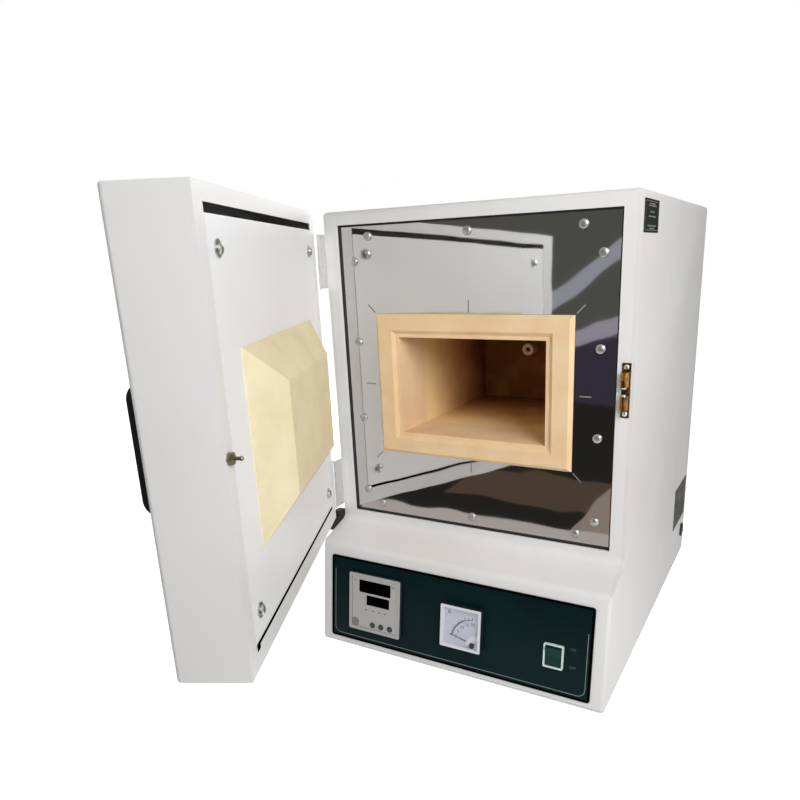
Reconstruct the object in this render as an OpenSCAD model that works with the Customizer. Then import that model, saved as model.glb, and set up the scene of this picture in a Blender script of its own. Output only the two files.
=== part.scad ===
// Bench-top muffle furnace. A white sheet-steel cabinet holds a ceramic-fibre muffle behind a polished
// heat shield, and its foot reaches forward to carry a leaning control front. The insulated door hangs
// on two butt hinges on the left and is drawn open.
//
// Frame: millimetres, X to the right, Y to the back, Z up. The origin is the centre of the resting face.

/* [Cabinet] */
// Width over the side sheets
cab_w = 360; // [340:1:420]
// Height over the top sheet
cab_h = 514; // [505:1:580]
// Depth of the upper cabinet
cab_d = 406; // [396:1:480]
// How far the foot stands in front of the furnace front
base_reach = 66; // [56:1:90]
// Lean of the control front, in degrees from upright
lean = 7.5; // [4:0.5:10]
// Height at which the furnace front meets the shoulder
shelf_z = 142; // [138:1:150]
// Fall of the shoulder from the furnace front to the control front
shoulder_drop = 16; // [12:1:20]
// Radius of the hollow bend where the shoulder starts
shelf_r = 9; // [4:1:9]
// Radius of the bend where the shoulder ends
brow_r = 8; // [4:1:12]
// Thickness of the cabinet and door sheet
sheet = 1.5; // [1:0.1:2]
// Outer radius of the folded edges
bend_r = 4.5; // [3:0.5:6]
// Thickness of the bottom plate
base_t = 2; // [1.5:0.5:3]
// Shadow gap between the bottom plate and the casing
base_gap = 0.4; // [0.2:0.1:0.6]

/* [Furnace front] */
// Width of the jambs beside the opening
jamb_w = 17; // [15:1:22]
// Height of the frame over the opening
head_w = 15; // [12:1:20]
// Height of the sill below the opening
sill_w = 11.5; // [10:0.5:14]
// Depth of the heat shield behind the frame
shield_set = 5; // [4:0.5:8]
// Thickness of the heat shield
shield_t = 1; // [0.8:0.1:1.5]
// How far the heat shield runs on behind the frame
shield_lap = 6; // [4:1:8]
// Width of the gasket that shows beside the frame
seal_w = 2; // [2:0.5:5]
// Thickness of the gasket
seal_t = 2; // [1:0.5:3]
// Width of the expansion slits in the heat shield
slit_w = 1.4; // [1:0.2:2]
// Length of the expansion slits
slit_l = 13; // [8:1:16]
// Distance of the outer screws from the opening's top and bottom edges
shield_screw_in = 13; // [10:1:16]
// Distance of the side screws from the opening's side edges
shield_screw_side = 18.5; // [12:0.5:22]
// Distance of the corner screws from the opening's side edges
shield_screw_out = 39; // [34:1:50]
// Number of screws in each side column
side_screws = 4; // [3:1:5]
// Height of the lowest side screw above the sill
side_screw_start = 29.5; // [25:0.5:35]
// Distance of the highest side screw from the opening's top edge
side_screw_top = 40; // [30:0.5:60]

/* [Muffle] */
// Width of the chamber
chamber_w = 177; // [150:1:185]
// Height of the chamber
chamber_h = 112; // [90:1:116]
// Depth of the chamber from the furnace front to the back board
chamber_d = 245; // [220:1:255]
// Thickness of the side boards
side_board = 29.5; // [26:0.5:32]
// Thickness of the roof and floor boards
roof_board = 26; // [22:0.5:28]
// Thickness of the back board
back_board = 32; // [25:1:36]
// Depth of the collar at the mouth
collar_d = 64; // [50:1:80]
// How far the chamber's centre lies under the middle of the opening
muffle_drop = 8.25; // [0:0.25:14]
// Width of the rebate round the mouth
rebate_w = 8; // [7:0.5:10]
// Depth of the rebate
rebate_d = 3.5; // [2.5:0.5:3.5]
// Width of the rebate's bevelled part
rebate_bevel = 4; // [2:0.5:5]
// Chamfer round the collar's front
collar_chamfer = 4; // [2:0.5:5]
// Thickness of the insulation beside the muffle
jacket_side = 38; // [30:1:42]
// Air space between the insulation and the cabinet's top
jacket_air = 42; // [30:1:60]
// Thickness of the insulation behind the muffle
jacket_back = 38; // [30:1:45]

/* [Heating wires and thermocouple] */
// Diameter of the heating wire
wire_d = 2.6; // [2:0.2:3]
// Depth of the wire grooves in the side boards
groove_d = 6; // [5:0.5:8]
// Spacing of the wire's runs
wire_pitch = 20; // [16:1:22]
// Number of runs in each side board, an even number
wire_runs = 6; // [4:2:6]
// Distance of the wire's turns from the ends of the side boards
wire_margin = 16; // [13:1:24]
// Outer diameter of the ceramic bushes on the wire ends
bush_d = 12; // [10:1:14]
// Length of the ceramic bushes
bush_l = 15; // [10:1:20]
// Outer diameter of the porcelain sheath
sheath_d = 16; // [14:1:18]
// Bore of the porcelain sheath
sheath_bore = 7; // [6.8:0.2:9]
// Diameter of the thermocouple probe
probe_d = 6; // [4:0.5:6]
// Place of the sheath across the chamber, from its centre
sheath_x = -14; // [-40:1:40]
// Height of the sheath over the chamber's centre
sheath_up = 16; // [0:1:30]
// How far the sheath stands into the chamber
sheath_reach = 23; // [10:1:35]
// Diameter of the connection head
head_d = 30; // [26:1:36]
// Length of the connection head
head_l = 24; // [18:1:30]

/* [Door] */
// Angle from closed at which the door is drawn
open_angle = 64.4; // [0:0.1:110]
// Thickness of the door
door_t = 62; // [50:1:75]
// Gap between the closed door and the furnace front
door_gap = 17; // [16.5:0.1:18]
// How far the door's side edges stay inside the cabinet's sides
door_side = 1; // [0.8:0.1:1.5]
// Gap between the shoulder's start and the door's bottom edge
door_foot_gap = 5; // [4:0.5:8]
// Width of the rim beside the liner
rim_w = 17; // [14:1:20]
// Height of the rim under the liner
rim_foot = 20; // [16:1:24]
// Height of the rim over the vent slot
rim_head = 13; // [10:1:18]
// Height of the vent slot over the liner
slot_h = 7; // [4:0.5:10]
// Joint beside the liner
liner_joint = 0.8; // [0.5:0.1:1.5]
// Joint under the liner
liner_foot_joint = 2; // [0.5:0.1:3]
// Thickness of the liner sheet
liner_t = 1.2; // [0.8:0.1:1.4]
// Air space between the door's insulation and its outer skin
door_air = 6; // [5:0.5:10]
// Distance of the liner bolts from the liner's side edges
liner_bolt_side = 18; // [14:1:30]
// Distance of the liner bolts from the liner's top and bottom edges
liner_bolt_in = 22.5; // [18:0.5:30]
// How far the plug stands out of the liner
plug_proud = 25; // [22:0.5:26]
// Taper of the plug in width, each side
plug_taper_w = 37.5; // [37:0.5:42]
// Taper of the plug in height, each side
plug_taper_h = 32.5; // [32:0.5:36]
// Straight part at the plug's root
plug_land = 1; // [0.5:0.1:1]

/* [Hinges] */
// Diameter of the hinge pins
pin_d = 3; // [2.5:0.1:3.2]
// Outer diameter of the knuckles
knuckle_d = 5; // [4.6:0.1:5]
// Thickness of the hinge leaves
leaf_t = 1.5; // [1:0.1:1.5]
// Width of the leaves on the cabinet and on the door
leaf_w = 28; // [22:1:34]
// Length of a hinge
hinge_l = 60; // [50:1:70]
// Height of the lower hinge's centre over the door's lower edge
hinge_foot_in = 43; // [43:1:70]
// Distance of the upper hinge's centre below the cabinet's top
hinge_top_in = 54; // [44:1:90]
// Distance of the pins outside the cabinet's left side
pin_out = 1.8; // [1.8:0.1:2.2]
// Length of the stepped buffer block under the door's hinge corner
buffer_l = 31; // [24:1:34]
// Thickness of the buffer block
buffer_t = 8; // [5:0.5:8]
// Height of the buffer block's front part
buffer_h = 17; // [12:1:20]
// How far its rear part stands over the door's lower edge
buffer_rise = 6; // [3:0.5:8]

/* [Catch] */
// Distance of the catch's centre from the cabinet's right side
catch_in = 7.7; // [7:0.1:8.5]
// Height of the catch's centre over the middle of the opening
catch_rise = 1.5; // [-20:0.5:30]
// Width of the catch's plate
catch_w = 8.5; // [8:0.5:10]
// Length of the catch
catch_l = 54.5; // [53:0.5:60]
// Thickness of the catch's plate
catch_t = 1.2; // [1:0.1:1.5]
// Clear gap between the two ball housings
catch_mouth = 9; // [9:0.1:10]
// Width of a ball housing
housing_w = 7; // [7:0.1:8]
// Length of a ball housing
housing_l = 14.5; // [13:0.5:14.5]
// Height of the balls' centres over the furnace front
ball_up = 8.5; // [7.5:0.1:9]
// Diameter of the balls
ball_d = 5; // [4.6:0.1:5]
// How far the balls can be pressed back
ball_travel = 1.5; // [1:0.1:2]
// Diameter of the striker's rounded tip
tip_d = 3.8; // [3.2:0.2:3.8]
// Diameter of the striker's neck
neck_d = 2.8; // [2.4:0.2:3.2]
// How far the striker's tip passes the balls' centres
striker_past = 1; // [0.5:0.1:1.5]
// Width of the striker's six-sided foot across its corners
striker_foot_d = 10; // [8:0.5:12]
// Height of the striker's foot
striker_foot_h = 4; // [2:0.5:4.5]

/* [Door handle] */
// Length of the handle
handle_l = 114; // [100:1:130]
// How far the handle stands out of the door
handle_rise = 24; // [22:1:36]
// Thickness of the grip
grip_t = 8; // [6:0.5:9]
// Width of the handle
handle_w = 14; // [10:1:18]
// Length of the handle's feet
handle_foot = 15; // [14:1:20]
// Radius of the grip's outer corners
handle_r = 14; // [8:1:14]
// Distance of the handle's centre from the door's free edge
handle_in = 48; // [30:1:60]
// How far the handle's centre lies under the door's middle
handle_drop = 6; // [-30:0.5:30]

/* [Control front] */
// Distance of the control panel from the foot's sides
panel_side = 15; // [11:1:20]
// Height of the control panel
panel_h = 105; // [98:1:107]
// Thickness of the control panel
panel_t = 1.5; // [1:0.1:2]
// Distance of the panel's lower edge from the foot, up the slope
panel_up = 8.3; // [6:0.1:10]
// Corner radius of the panel
panel_r = 3; // [1:0.5:6]
// Side of the controller's square frame
ctl_size = 72; // [72:0.5:76]
// Side of the controller's body
ctl_body = 67.5; // [67:0.1:68]
// Depth of the controller's body
ctl_depth = 70; // [50:1:90]
// Height of the controller's frame over the panel
ctl_rise = 4.5; // [4.5:0.1:6]
// Corner radius of the controller's frame
ctl_r = 2.5; // [1:0.5:4]
// Side of the controller's front plate
ctl_face = 63.6; // [62:0.1:64]
// Distance of the controller's centre from the panel's left edge
ctl_in = 65; // [60:1:85]
// Place of the controller up the slope
ctl_up = 61.5; // [55:0.5:65]
// Diameter of the keys
key_d = 6.8; // [5:0.2:7]
// Travel of the keys
key_travel = 0.8; // [0.4:0.1:0.8]
// Spacing of the three right-hand keys
key_pitch = 12.2; // [11:0.1:12.5]

/* [Ammeter] */
// Side of the ammeter's square frame
amm_size = 50; // [48:0.5:56]
// Depth of the ammeter's body
amm_depth = 38; // [25:1:50]
// Diameter of the ammeter's round body
amm_body_d = 42; // [36:1:44]
// Height of the ammeter over the panel
amm_rise = 8; // [7:0.5:10]
// Width of the ammeter's rim
amm_rim = 3.4; // [2.5:0.1:5]
// Place of the ammeter across the panel
amm_x = 17; // [0:1:40]
// Place of the ammeter up the slope
amm_up = 60; // [50:0.5:65]
// Length of the needle
needle_l = 30; // [22:0.5:31]
// Angle of the needle over the level at zero current, in degrees
needle_rest = 12; // [5:1:20]

/* [Switch] */
// Width of the switch's frame
sw_w = 22; // [21:0.5:26]
// Height of the switch's frame
sw_h = 27; // [26:0.5:32]
// Width of the frame round the rocker
sw_rim = 1.8; // [1.6:0.1:1.8]
// Depth of the switch's body
sw_depth = 22; // [18:1:30]
// Height of the switch's frame over the panel
sw_rise = 2.5; // [2:0.1:3]
// Tilt of the rocker to each side, in degrees
rocker_tilt = 8; // [5:0.5:8]
// Distance of the switch's centre from the panel's right edge
sw_in = 41; // [30:1:65]
// Place of the switch up the slope
sw_up = 51.7; // [45:0.1:65]

/* [Rear and side] */
// Width of the casing's flange behind the rear cover
flange_w = 15; // [12:1:20]
// Louvres in a row
louvre_columns = 2; // [1:1:3]
// Rows of louvres in each field
louvre_rows = 5; // [2:1:6]
// Width of a louvre
louvre_w = 80; // [50:1:90]
// Height of a louvre
louvre_h = 7; // [5:0.5:8]
// How far a louvre stands out
louvre_rise = 4; // [3:0.5:6]
// Spacing of the rows
louvre_pitch = 14; // [12:1:18]
// Diameter of the grommet's flange
grommet_d = 20; // [16:1:22]
// Diameter of the cable hole in the grommet
cable_bore = 9; // [7:0.5:10]
// Distance of the grommet's centre from the rear
grommet_in = 25; // [16:0.5:40]
// Height of the grommet's centre
grommet_z = 40; // [26:1:48]
// Length of the air slots in the bottom plate
vent_l = 80; // [50:1:100]
// Width of the air slots
vent_w = 5; // [3:0.5:6]
// Spacing of the air slots
vent_pitch = 14; // [10:1:18]
// Number of air slots in each field
vent_slots = 7; // [3:1:8]
// Length of the badge plate
badge_l = 63; // [40:1:80]
// Height of the badge plate
badge_h = 30; // [20:1:36]
// Length of the rating plate
rating_l = 88; // [60:1:100]
// Height of the rating plate
rating_h = 60; // [30:1:64]
// Thickness of both plates
plate_t = 0.8; // [0.5:0.1:1.5]
// Distance of the rating plate from the rear
rating_in = 14; // [8:1:40]
// Height of the rating plate's lower edge
rating_z = 66; // [55:1:80]
// Distance of the badge from the cabinet's top
badge_in = 8.5; // [6:0.5:20]

/* [Electrics in the base] */
// Length of the heat sink
sink_l = 90; // [70:1:110]
// Width of the heat sink
sink_w = 70; // [60:1:90]
// Height of the heat sink
sink_h = 30; // [20:1:40]
// Number of fins
sink_fins = 8; // [5:1:10]
// Length of the relay
relay_l = 60; // [50:1:70]
// Width of the relay
relay_w = 45; // [40:1:50]
// Height of the relay
relay_h = 25; // [20:1:30]
// Number of poles of the terminal block
poles = 5; // [3:1:6]
// Width of a pole
pole_w = 12; // [10:1:14]
// Depth of the terminal block
terminal_d = 22; // [18:1:26]
// Height of the terminal block
terminal_h = 18; // [14:1:22]
// Thickness of the heat sink's plate
sink_plate = 5; // [3:0.5:6]
// Thickness of a fin
fin_t = 2; // [1:0.2:3]

/* [Fasteners] */
// Shank of the hinge, catch and cover screws
screw_d = 3; // [2.5:0.1:3.2]
// Head diameter of these screws
screw_head_d = 5.6; // [5:0.1:6]
// Head height of these screws
screw_head_h = 1.8; // [1.4:0.1:2.2]
// Length of these screws under the head
screw_l = 8; // [6:0.5:10]
// Shank of the heat shield's screws
shield_screw_d = 4; // [3:0.5:5]
// Head diameter of the heat shield's screws
shield_head_d = 9.5; // [8:0.5:11]
// Head height of the heat shield's screws
shield_head_h = 3.2; // [2.4:0.2:4]
// Length of the heat shield's screws
shield_screw_l = 10; // [7:0.5:11]
// Shank of the handle's screws
handle_screw_d = 4; // [3:0.5:5]
// Head diameter of the handle's screws
handle_head_d = 8; // [6:0.5:9]
// Head height of the handle's screws
handle_head_h = 3; // [2:0.5:3.5]
// How far these screws reach into the handle's feet
handle_screw_in = 12; // [9:0.5:13]
// Shank of the liner bolts
bolt_d = 4.8; // [4:0.2:6]
// Head diameter of the liner bolts
bolt_head_d = 9; // [8:0.5:11]
// Head height of the liner bolts
bolt_head_h = 3.2; // [2.4:0.2:4]
// Length of the liner bolts
bolt_l = 30; // [20:1:36]
// Diameter of the washers under them
washer_d = 13; // [12:0.5:15]
// Thickness of the washers
washer_t = 1; // [0.6:0.1:1.4]

/* [Hidden] */
$fn = 48;

// Clearances
gap = 0.3;       // between pieces that don't touch
running = 0.05;  // radial, of a pin or ball in its bore
past = 1;        // how far a cutting shape runs past the face it cuts

// Colours
enamel = "#DCDCDA";
steel = "#B9BDC0";
mirror_steel = "#AEB3B5";
fibre = "#E0BA88";
plug_fibre = "#EADDB8";
black = "#1A1C1E";
brass = "#96703C";
panel_green = "#0C1C1E";
grey_plastic = "#969896";

// Cabinet planes
foot_d = cab_d + base_reach;
foot_y = -foot_d / 2;             // front edge of the foot
front_y = foot_y + base_reach;    // furnace front
rear_y = front_y + cab_d;
brow_z = shelf_z - shoulder_drop; // height at which the shoulder meets the control front
casing_z = base_t + base_gap;     // lower edge of the casing
sill_seam = shelf_z + sill_w - 4; // seam between the base front and the front frame
inner_x = cab_w / 2 - sheet;      // inner face of the side sheets

// Furnace opening
open_w = cab_w - 2 * jamb_w;
open_z0 = shelf_z + sill_w;
open_z1 = cab_h - head_w;
open_mid = (open_z0 + open_z1) / 2;
shield_y = front_y + shield_set;  // front of the heat shield
deck_z = shelf_z + 1;             // underside of the deck
deck_top = deck_z + sheet;

// Muffle
muffle_z = open_mid - muffle_drop;  // height of the chamber's centre
muffle_w = chamber_w + 2 * side_board;
muffle_h = chamber_h + 2 * roof_board;
collar_y = front_y + collar_d;
back_y = front_y + chamber_d;
muffle_end = back_y + back_board;
jacket_end = muffle_end + jacket_back;
wire_x = muffle_w / 2 - groove_d + gap + wire_d / 2;
wire_front = collar_y + wire_margin + wire_pitch / 2;
wire_rear = back_y - wire_margin - wire_pitch / 2;

// Door, in its closed place
door_w = cab_w - 2 * door_side;
door_x = -cab_w / 2 + door_side;
door_y = front_y - door_gap;
door_z = shelf_z + door_foot_gap;
door_h = cab_h - door_z;
liner_x0 = rim_w + liner_joint;
liner_x1 = door_w - rim_w - liner_joint;
liner_z0 = rim_foot + liner_foot_joint;
liner_z1 = door_h - rim_head - slot_h;
plug_x = -door_x;                 // plug's centre, so that it meets the mouth
plug_z = muffle_z - door_z;

// Hinges
hinge_x = -cab_w / 2 - pin_out;
hinge_y = door_y - 0.2;
hinge_heights = [door_z + hinge_foot_in, cab_h - hinge_top_in];
knuckle_gap = 0.5;
end_knuckle = hinge_l / 4;

// Catch
catch_x = cab_w / 2 - catch_in;
catch_z = open_mid + catch_rise;
ball_z = catch_mouth / 2 + 0.2;
striker_reach = door_gap - ball_up + striker_past + tip_d / 2; // from the liner to the tip's end

// Handle
handle_z = door_h / 2 - handle_drop; // over the door's lower edge

// Control front
panel_w = cab_w - 2 * panel_side;
ctl_x = -panel_w / 2 + ctl_in;
sw_x = panel_w / 2 - sw_in;

// Controller, heights over the slope
ctl_floor = 0.5;
face_t = 1.5;
face_top = panel_t + ctl_rise - 0.8;
key_flange = 1.2;
key_row = -26.7;
key_places = [-27.5, -2.5, -2.5 + key_pitch, -2.5 + 2 * key_pitch];
upper_display = [-1.75, 20.8, 39.5, 10.2]; // centre across, centre up, width, height
lower_display = [3.5, 4.1, 29, 6.8];

// Ammeter
amm_inside = amm_size - 2 * amm_rim;
dial_w = 4;                       // height of the dial over the slope
needle_x = 15.5;
needle_v = -16.5;

// Rocker
well_w = sw_w - 2 * sw_rim;
well_h = sw_h - 2 * sw_rim;
rocker_half = well_h / 2 - 1.1;   // leaves room for the tips to swing
rocker_foot = rocker_half - 3;
pivot_w = -1.5;

// ---------------------------------------------------------------- outlines

function unit(v) = v / norm(v);
function left_of(v) = [-v[1], v[0]];
function turned(v, a) = [v[0] * cos(a) - v[1] * sin(a), v[0] * sin(a) + v[1] * cos(a)];
function before(points, i) = points[(i + len(points) - 1) % len(points)];
function after(points, i) = points[(i + 1) % len(points)];

// The corners of an anticlockwise outline, moved inwards by d
function inward(points, d) = [
    for (i = [0:len(points) - 1])
        let (u = unit(points[i] - before(points, i)), v = unit(after(points, i) - points[i]))
            points[i] + d * (left_of(u) + left_of(v)) / (1 + u * v)];

// The arc of radius r that rounds corner p between its neighbours a and c
function corner_arc(a, p, c, r, steps = 8) = r <= 0 ? [p] :
    let (
        u = unit(p - a),
        v = unit(c - p),
        turn = atan2(u[0] * v[1] - u[1] * v[0], u * v),
        start = p - u * r * tan(abs(turn) / 2),
        centre = start + sign(turn) * r * left_of(u))
    [for (k = [0:steps]) centre + turned(start - centre, turn * k / steps)];

// An outline with its corners rounded
function rounded(points, radii) = [
    for (i = [0:len(points) - 1])
        each corner_arc(before(points, i), points[i], after(points, i), radii[i])];

// A rectangle on the x axis whose two upper corners are bent to radius r
module bent_top(w, h, r) {
    translate([-w / 2, 0]) square([w, h - r]);
    translate([-w / 2 + r, 0]) square([w - 2 * r, h]);
    for (side = [-1, 1]) translate([side * (w / 2 - r), h - r]) circle(r);
}

// A centred rectangle with four rounded corners
module round_rect(w, h, r) {
    square([w - 2 * r, h], center = true);
    square([w, h - 2 * r], center = true);
    for (sx = [-1, 1], sy = [-1, 1]) translate([sx * (w / 2 - r), sy * (h / 2 - r)]) circle(r);
}

// ---------------------------------------------------------------- placing

// Extrudes an outline drawn in y and z along +X
module along_x(length) {
    rotate([90, 0, 90]) linear_extrude(length) children();
}

// Extrudes an outline drawn in x and z along -Y
module along_minus_y(length) {
    rotate([90, 0, 0]) linear_extrude(length) children();
}

// A block from its lowest corner to its highest
module span(low, high) {
    translate(low) cube(high - low);
}

// The leaning control front: x across, y up the slope, z out of it
module on_slope(across, up) {
    translate([0, foot_y, 0]) rotate([90 - lean, 0, 0]) translate([across, up, 0]) children();
}

// The door's own frame: x from the hinge edge, y out of the liner, z up from its lower edge
module on_door() {
    translate([hinge_x, hinge_y, 0]) rotate([0, 0, -open_angle])
        translate([door_x - hinge_x, door_y - hinge_y, door_z]) children();
}

// A pan-head screw along -Z: head above z = 0, shank below
module screw(head_d, head_h, shank_d, length) {
    rotate_extrude() polygon(concat(
        [[0, -length], [shank_d / 2, -length], [shank_d / 2, 0], [head_d / 2, 0]],
        [for (k = [0:5]) [head_d / 2 * cos(15 * k), head_h * (0.35 + 0.65 * sin(15 * k))]],
        [[0, head_h]]));
}

// A block w wide and h high, from y = 0 to depth, whose far end narrows over its last run
module bevelled_block(w, h, depth, cut_w, cut_h, run) {
    intersection() {
        translate([0, 0, -h / 2]) linear_extrude(h) polygon([
            [-w / 2, 0], [w / 2, 0], [w / 2, depth - run], [w / 2 - cut_w, depth],
            [-w / 2 + cut_w, depth], [-w / 2, depth - run]]);
        translate([-w / 2, 0, 0]) along_x(w) polygon([
            [0, -h / 2], [depth - run, -h / 2], [depth, -h / 2 + cut_h],
            [depth, h / 2 - cut_h], [depth - run, h / 2], [0, h / 2]]);
    }
}

// ---------------------------------------------------------------- cabinet sheet

function slope_y(z) = foot_y + z * tan(lean);

// Side outline in y and z; more carries it on past the rear and the floor
function side_corners(more) = [
    [slope_y(-more), -more], [rear_y + more, -more], [rear_y + more, cab_h],
    [front_y, cab_h], [front_y, shelf_z], [slope_y(brow_z), brow_z]];

// The cabinet's solid form, d inside its outer faces
module cabinet_form(d, more) {
    r = bend_r - d;
    radii = [0, 0, 0, r, shelf_r + d, brow_r - d];
    intersection() {
        translate([-cab_w / 2 + d, 0, 0])
            along_x(cab_w - 2 * d) polygon(rounded(inward(side_corners(more), d), radii));
        translate([0, rear_y + more + past, -more])
            along_minus_y(foot_d + 2 * more + 2 * past) bent_top(cab_w - 2 * d, cab_h + more - d, r);
        union() {
            translate([0, rear_y + more, brow_z])
                linear_extrude(cab_h) rotate(180) bent_top(cab_w - 2 * d, cab_d + more - d, r);
            intersection() {
                on_slope(0, cab_h) translate([0, 0, -2 * foot_d])
                    along_minus_y(2 * cab_h) bent_top(cab_w - 2 * d, 2 * foot_d - d, r);
                span([-cab_w, foot_y - more - past, -2 * past - more], [cab_w, rear_y + more, shelf_z]);
            }
        }
    }
}

module sheet_shell() {
    difference() {
        cabinet_form(0, 0);
        cabinet_form(sheet, 2 * sheet);
    }
}

// The zone of the front sheets, between the bent edges
module front_zone(z0, z1) {
    x = cab_w / 2 - bend_r;
    span([-x, foot_y - past, z0], [x, front_y + bend_r, z1]);
}

// The furnace opening, grown by g, between two depths
module opening(g, y0, y1) {
    span([-open_w / 2 - g, y0, open_z0 - g], [open_w / 2 + g, y1, open_z1 + g]);
}

rear_screw_x = inner_x - flange_w / 2;
rear_screw_heights = [for (k = [0:3]) 30 + k * (cab_h - 60) / 3];

module at_rear_screws() {
    for (side = [-1, 1], z = rear_screw_heights)
        translate([side * rear_screw_x, rear_y, z]) rotate([-90, 0, 0]) children();
}

module at_cabinet_hinge_screws() {
    for (z = hinge_heights, dz = [-1, 1])
        translate([-cab_w / 2 - leaf_t, front_y + leaf_w / 2 + 3, z + dz * hinge_l / 4])
            rotate([0, -90, 0]) children();
}

module outer_casing() color(enamel) difference() {
    union() {
        difference() {
            sheet_shell();
            front_zone(-past, cab_h - bend_r);
        }
        difference() {
            intersection() {
                cabinet_form(sheet / 2, 2 * sheet);
                span([-cab_w, rear_y - 2 * sheet, 0], [cab_w, rear_y - sheet, cab_h]);
            }
            span([-inner_x + flange_w, front_y, -past],
                 [inner_x - flange_w, rear_y + past, cab_h - sheet - flange_w]);
        }
    }
    span([-cab_w, foot_y - past, -past], [cab_w, rear_y + past, casing_z]);
    at_rear_screws() cylinder(d = screw_d + 2 * gap, h = 6 * sheet, center = true);
    at_cabinet_hinge_screws() cylinder(d = screw_d + 2 * gap, h = 6 * sheet, center = true);
    at_grommet() cylinder(d = grommet_d - 3, h = 6 * sheet, center = true);
}

module front_frame() color(enamel) difference() {
    union() {
        intersection() {
            sheet_shell();
            front_zone(sill_seam, cab_h - bend_r);
        }
        opening(sheet, front_y + sheet / 2, shield_y);
    }
    opening(0, front_y - past, shield_y + past);
    at_catch() catch_screw_holes();
}

module base_front() color(enamel) difference() {
    intersection() {
        sheet_shell();
        front_zone(casing_z, sill_seam);
    }
    panel_holes();
}

module base_plate() color(steel) difference() {
    union() {
        translate([0, rear_y - gap, 0]) linear_extrude(base_t) rotate(180)
            bent_top(cab_w - 2 * gap, foot_d - 2 * gap, bend_r);
        difference() {
            span([-inner_x + gap, slope_y(flange_h) + 2 * sheet, 0],
                 [inner_x - gap, rear_y - 2 * sheet - gap, flange_h]);
            span([-inner_x + gap + sheet, slope_y(flange_h) + 3 * sheet, -past],
                 [inner_x - gap - sheet, rear_y - 3 * sheet - gap, flange_h + past]);
        }
    }
    for (side = [-1, 1], k = [0:vent_slots - 1])
        translate([side * cab_w / 4, vent_start + k * vent_pitch, 0])
            linear_extrude(3 * base_t, center = true) round_rect(vent_l, vent_w, 0.4 * vent_w);
}
flange_h = 12;
vent_start = -20;

// ---------------------------------------------------------------- rear

louvre_fields = [60, cab_h - 60 - louvre_rows * louvre_pitch];

module at_louvres() {
    step = louvre_w + 20;
    for (z0 = louvre_fields, row = [0:louvre_rows - 1], column = [0:louvre_columns - 1])
        translate([(column - (louvre_columns - 1) / 2) * step - louvre_w / 2,
                   rear_y, z0 + row * louvre_pitch]) children();
}

// Pressed hoods that open downwards, each over its slot
module rear_cover() color(enamel) difference() {
    union() {
        intersection() {
            cabinet_form(sheet + gap, 2 * sheet + gap);
            span([-cab_w, rear_y - sheet, casing_z], [cab_w, rear_y, cab_h]);
        }
        at_louvres() along_x(louvre_w) polygon([
            [-sheet / 2, 0], [louvre_rise, 0], [0, louvre_h], [-sheet / 2, louvre_h]]);
    }
    at_louvres() translate([sheet, 0, 0]) along_x(louvre_w - 2 * sheet) polygon([
        [-2 * sheet, -past], [louvre_rise - sheet, -past], [louvre_rise - sheet, 0],
        [-2 * sheet, (louvre_rise + sheet) * louvre_h / louvre_rise]]);
    at_rear_screws() cylinder(d = screw_d + 2 * gap, h = 6 * sheet, center = true);
}

module rear_cover_screws() color(steel) {
    at_rear_screws() screw(screw_head_d, screw_head_h, screw_d, screw_l);
}

module deck_plate() color(steel) {
    span([-inner_x, front_y + bend_r, deck_z], [inner_x, rear_y - 2 * sheet - gap, deck_top]);
    for (side = [-1, 1]) span(
        [side * (inner_x - sheet / 2) - sheet / 2, front_y + bend_r, deck_z - flange_h],
        [side * (inner_x - sheet / 2) + sheet / 2, rear_y - 2 * sheet - gap, deck_top]);
}

// ---------------------------------------------------------------- heat shield

module at_shield_screws() {
    pitch = (open_z1 - open_z0 - side_screw_start - side_screw_top) / (side_screws - 1);
    for (side = [-1, 0, 1], z = [open_z0 + shield_screw_in, open_z1 - shield_screw_in])
        translate([side * (open_w / 2 - shield_screw_out), shield_y, z]) rotate([90, 0, 0]) children();
    for (side = [-1, 1], k = [0:side_screws - 1])
        translate([side * (open_w / 2 - shield_screw_side), shield_y,
                   open_z0 + side_screw_start + k * pitch]) rotate([90, 0, 0]) children();
}

// One slit that runs away from the origin at an angle in the shield's plane
module slit(angle) {
    rotate([0, -angle, 0]) translate([2, -2 * shield_t, -slit_w / 2])
        cube([slit_l, 4 * shield_t, slit_w]);
}

module mirror_plate() color(mirror_steel) difference() {
    opening(shield_lap, shield_y, shield_y + shield_t);
    span([-muffle_w / 2 - gap, front_y, muffle_z - muffle_h / 2 - gap],
         [muffle_w / 2 + gap, collar_y, muffle_z + muffle_h / 2 + gap]);
    at_shield_screws() cylinder(d = shield_screw_d + 2 * gap, h = 6 * shield_t, center = true);
    translate([0, shield_y, muffle_z]) {
        for (k = [0, 1]) rotate([0, k * 180, 0]) translate([0, 0, muffle_h / 2]) slit(90);
        for (side = [0, 1]) mirror([side, 0, 0]) {
            translate([muffle_w / 2 + 4, 0, 0]) slit(0);
            for (up = [-1, 1]) translate([muffle_w / 2, 0, up * muffle_h / 2]) slit(up * 45);
        }
    }
}
module plate_screws() color(steel) {
    at_shield_screws() screw(shield_head_d, shield_head_h, shield_screw_d, shield_screw_l);
}

module frame_seal() color(black) difference() {
    opening(0, shield_y - seal_t, shield_y);
    span([-open_w / 2 + seal_w, front_y, open_z0 + seal_w],
         [open_w / 2 - seal_w, collar_y, open_z1 - seal_w]);
}

// ---------------------------------------------------------------- muffle

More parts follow.
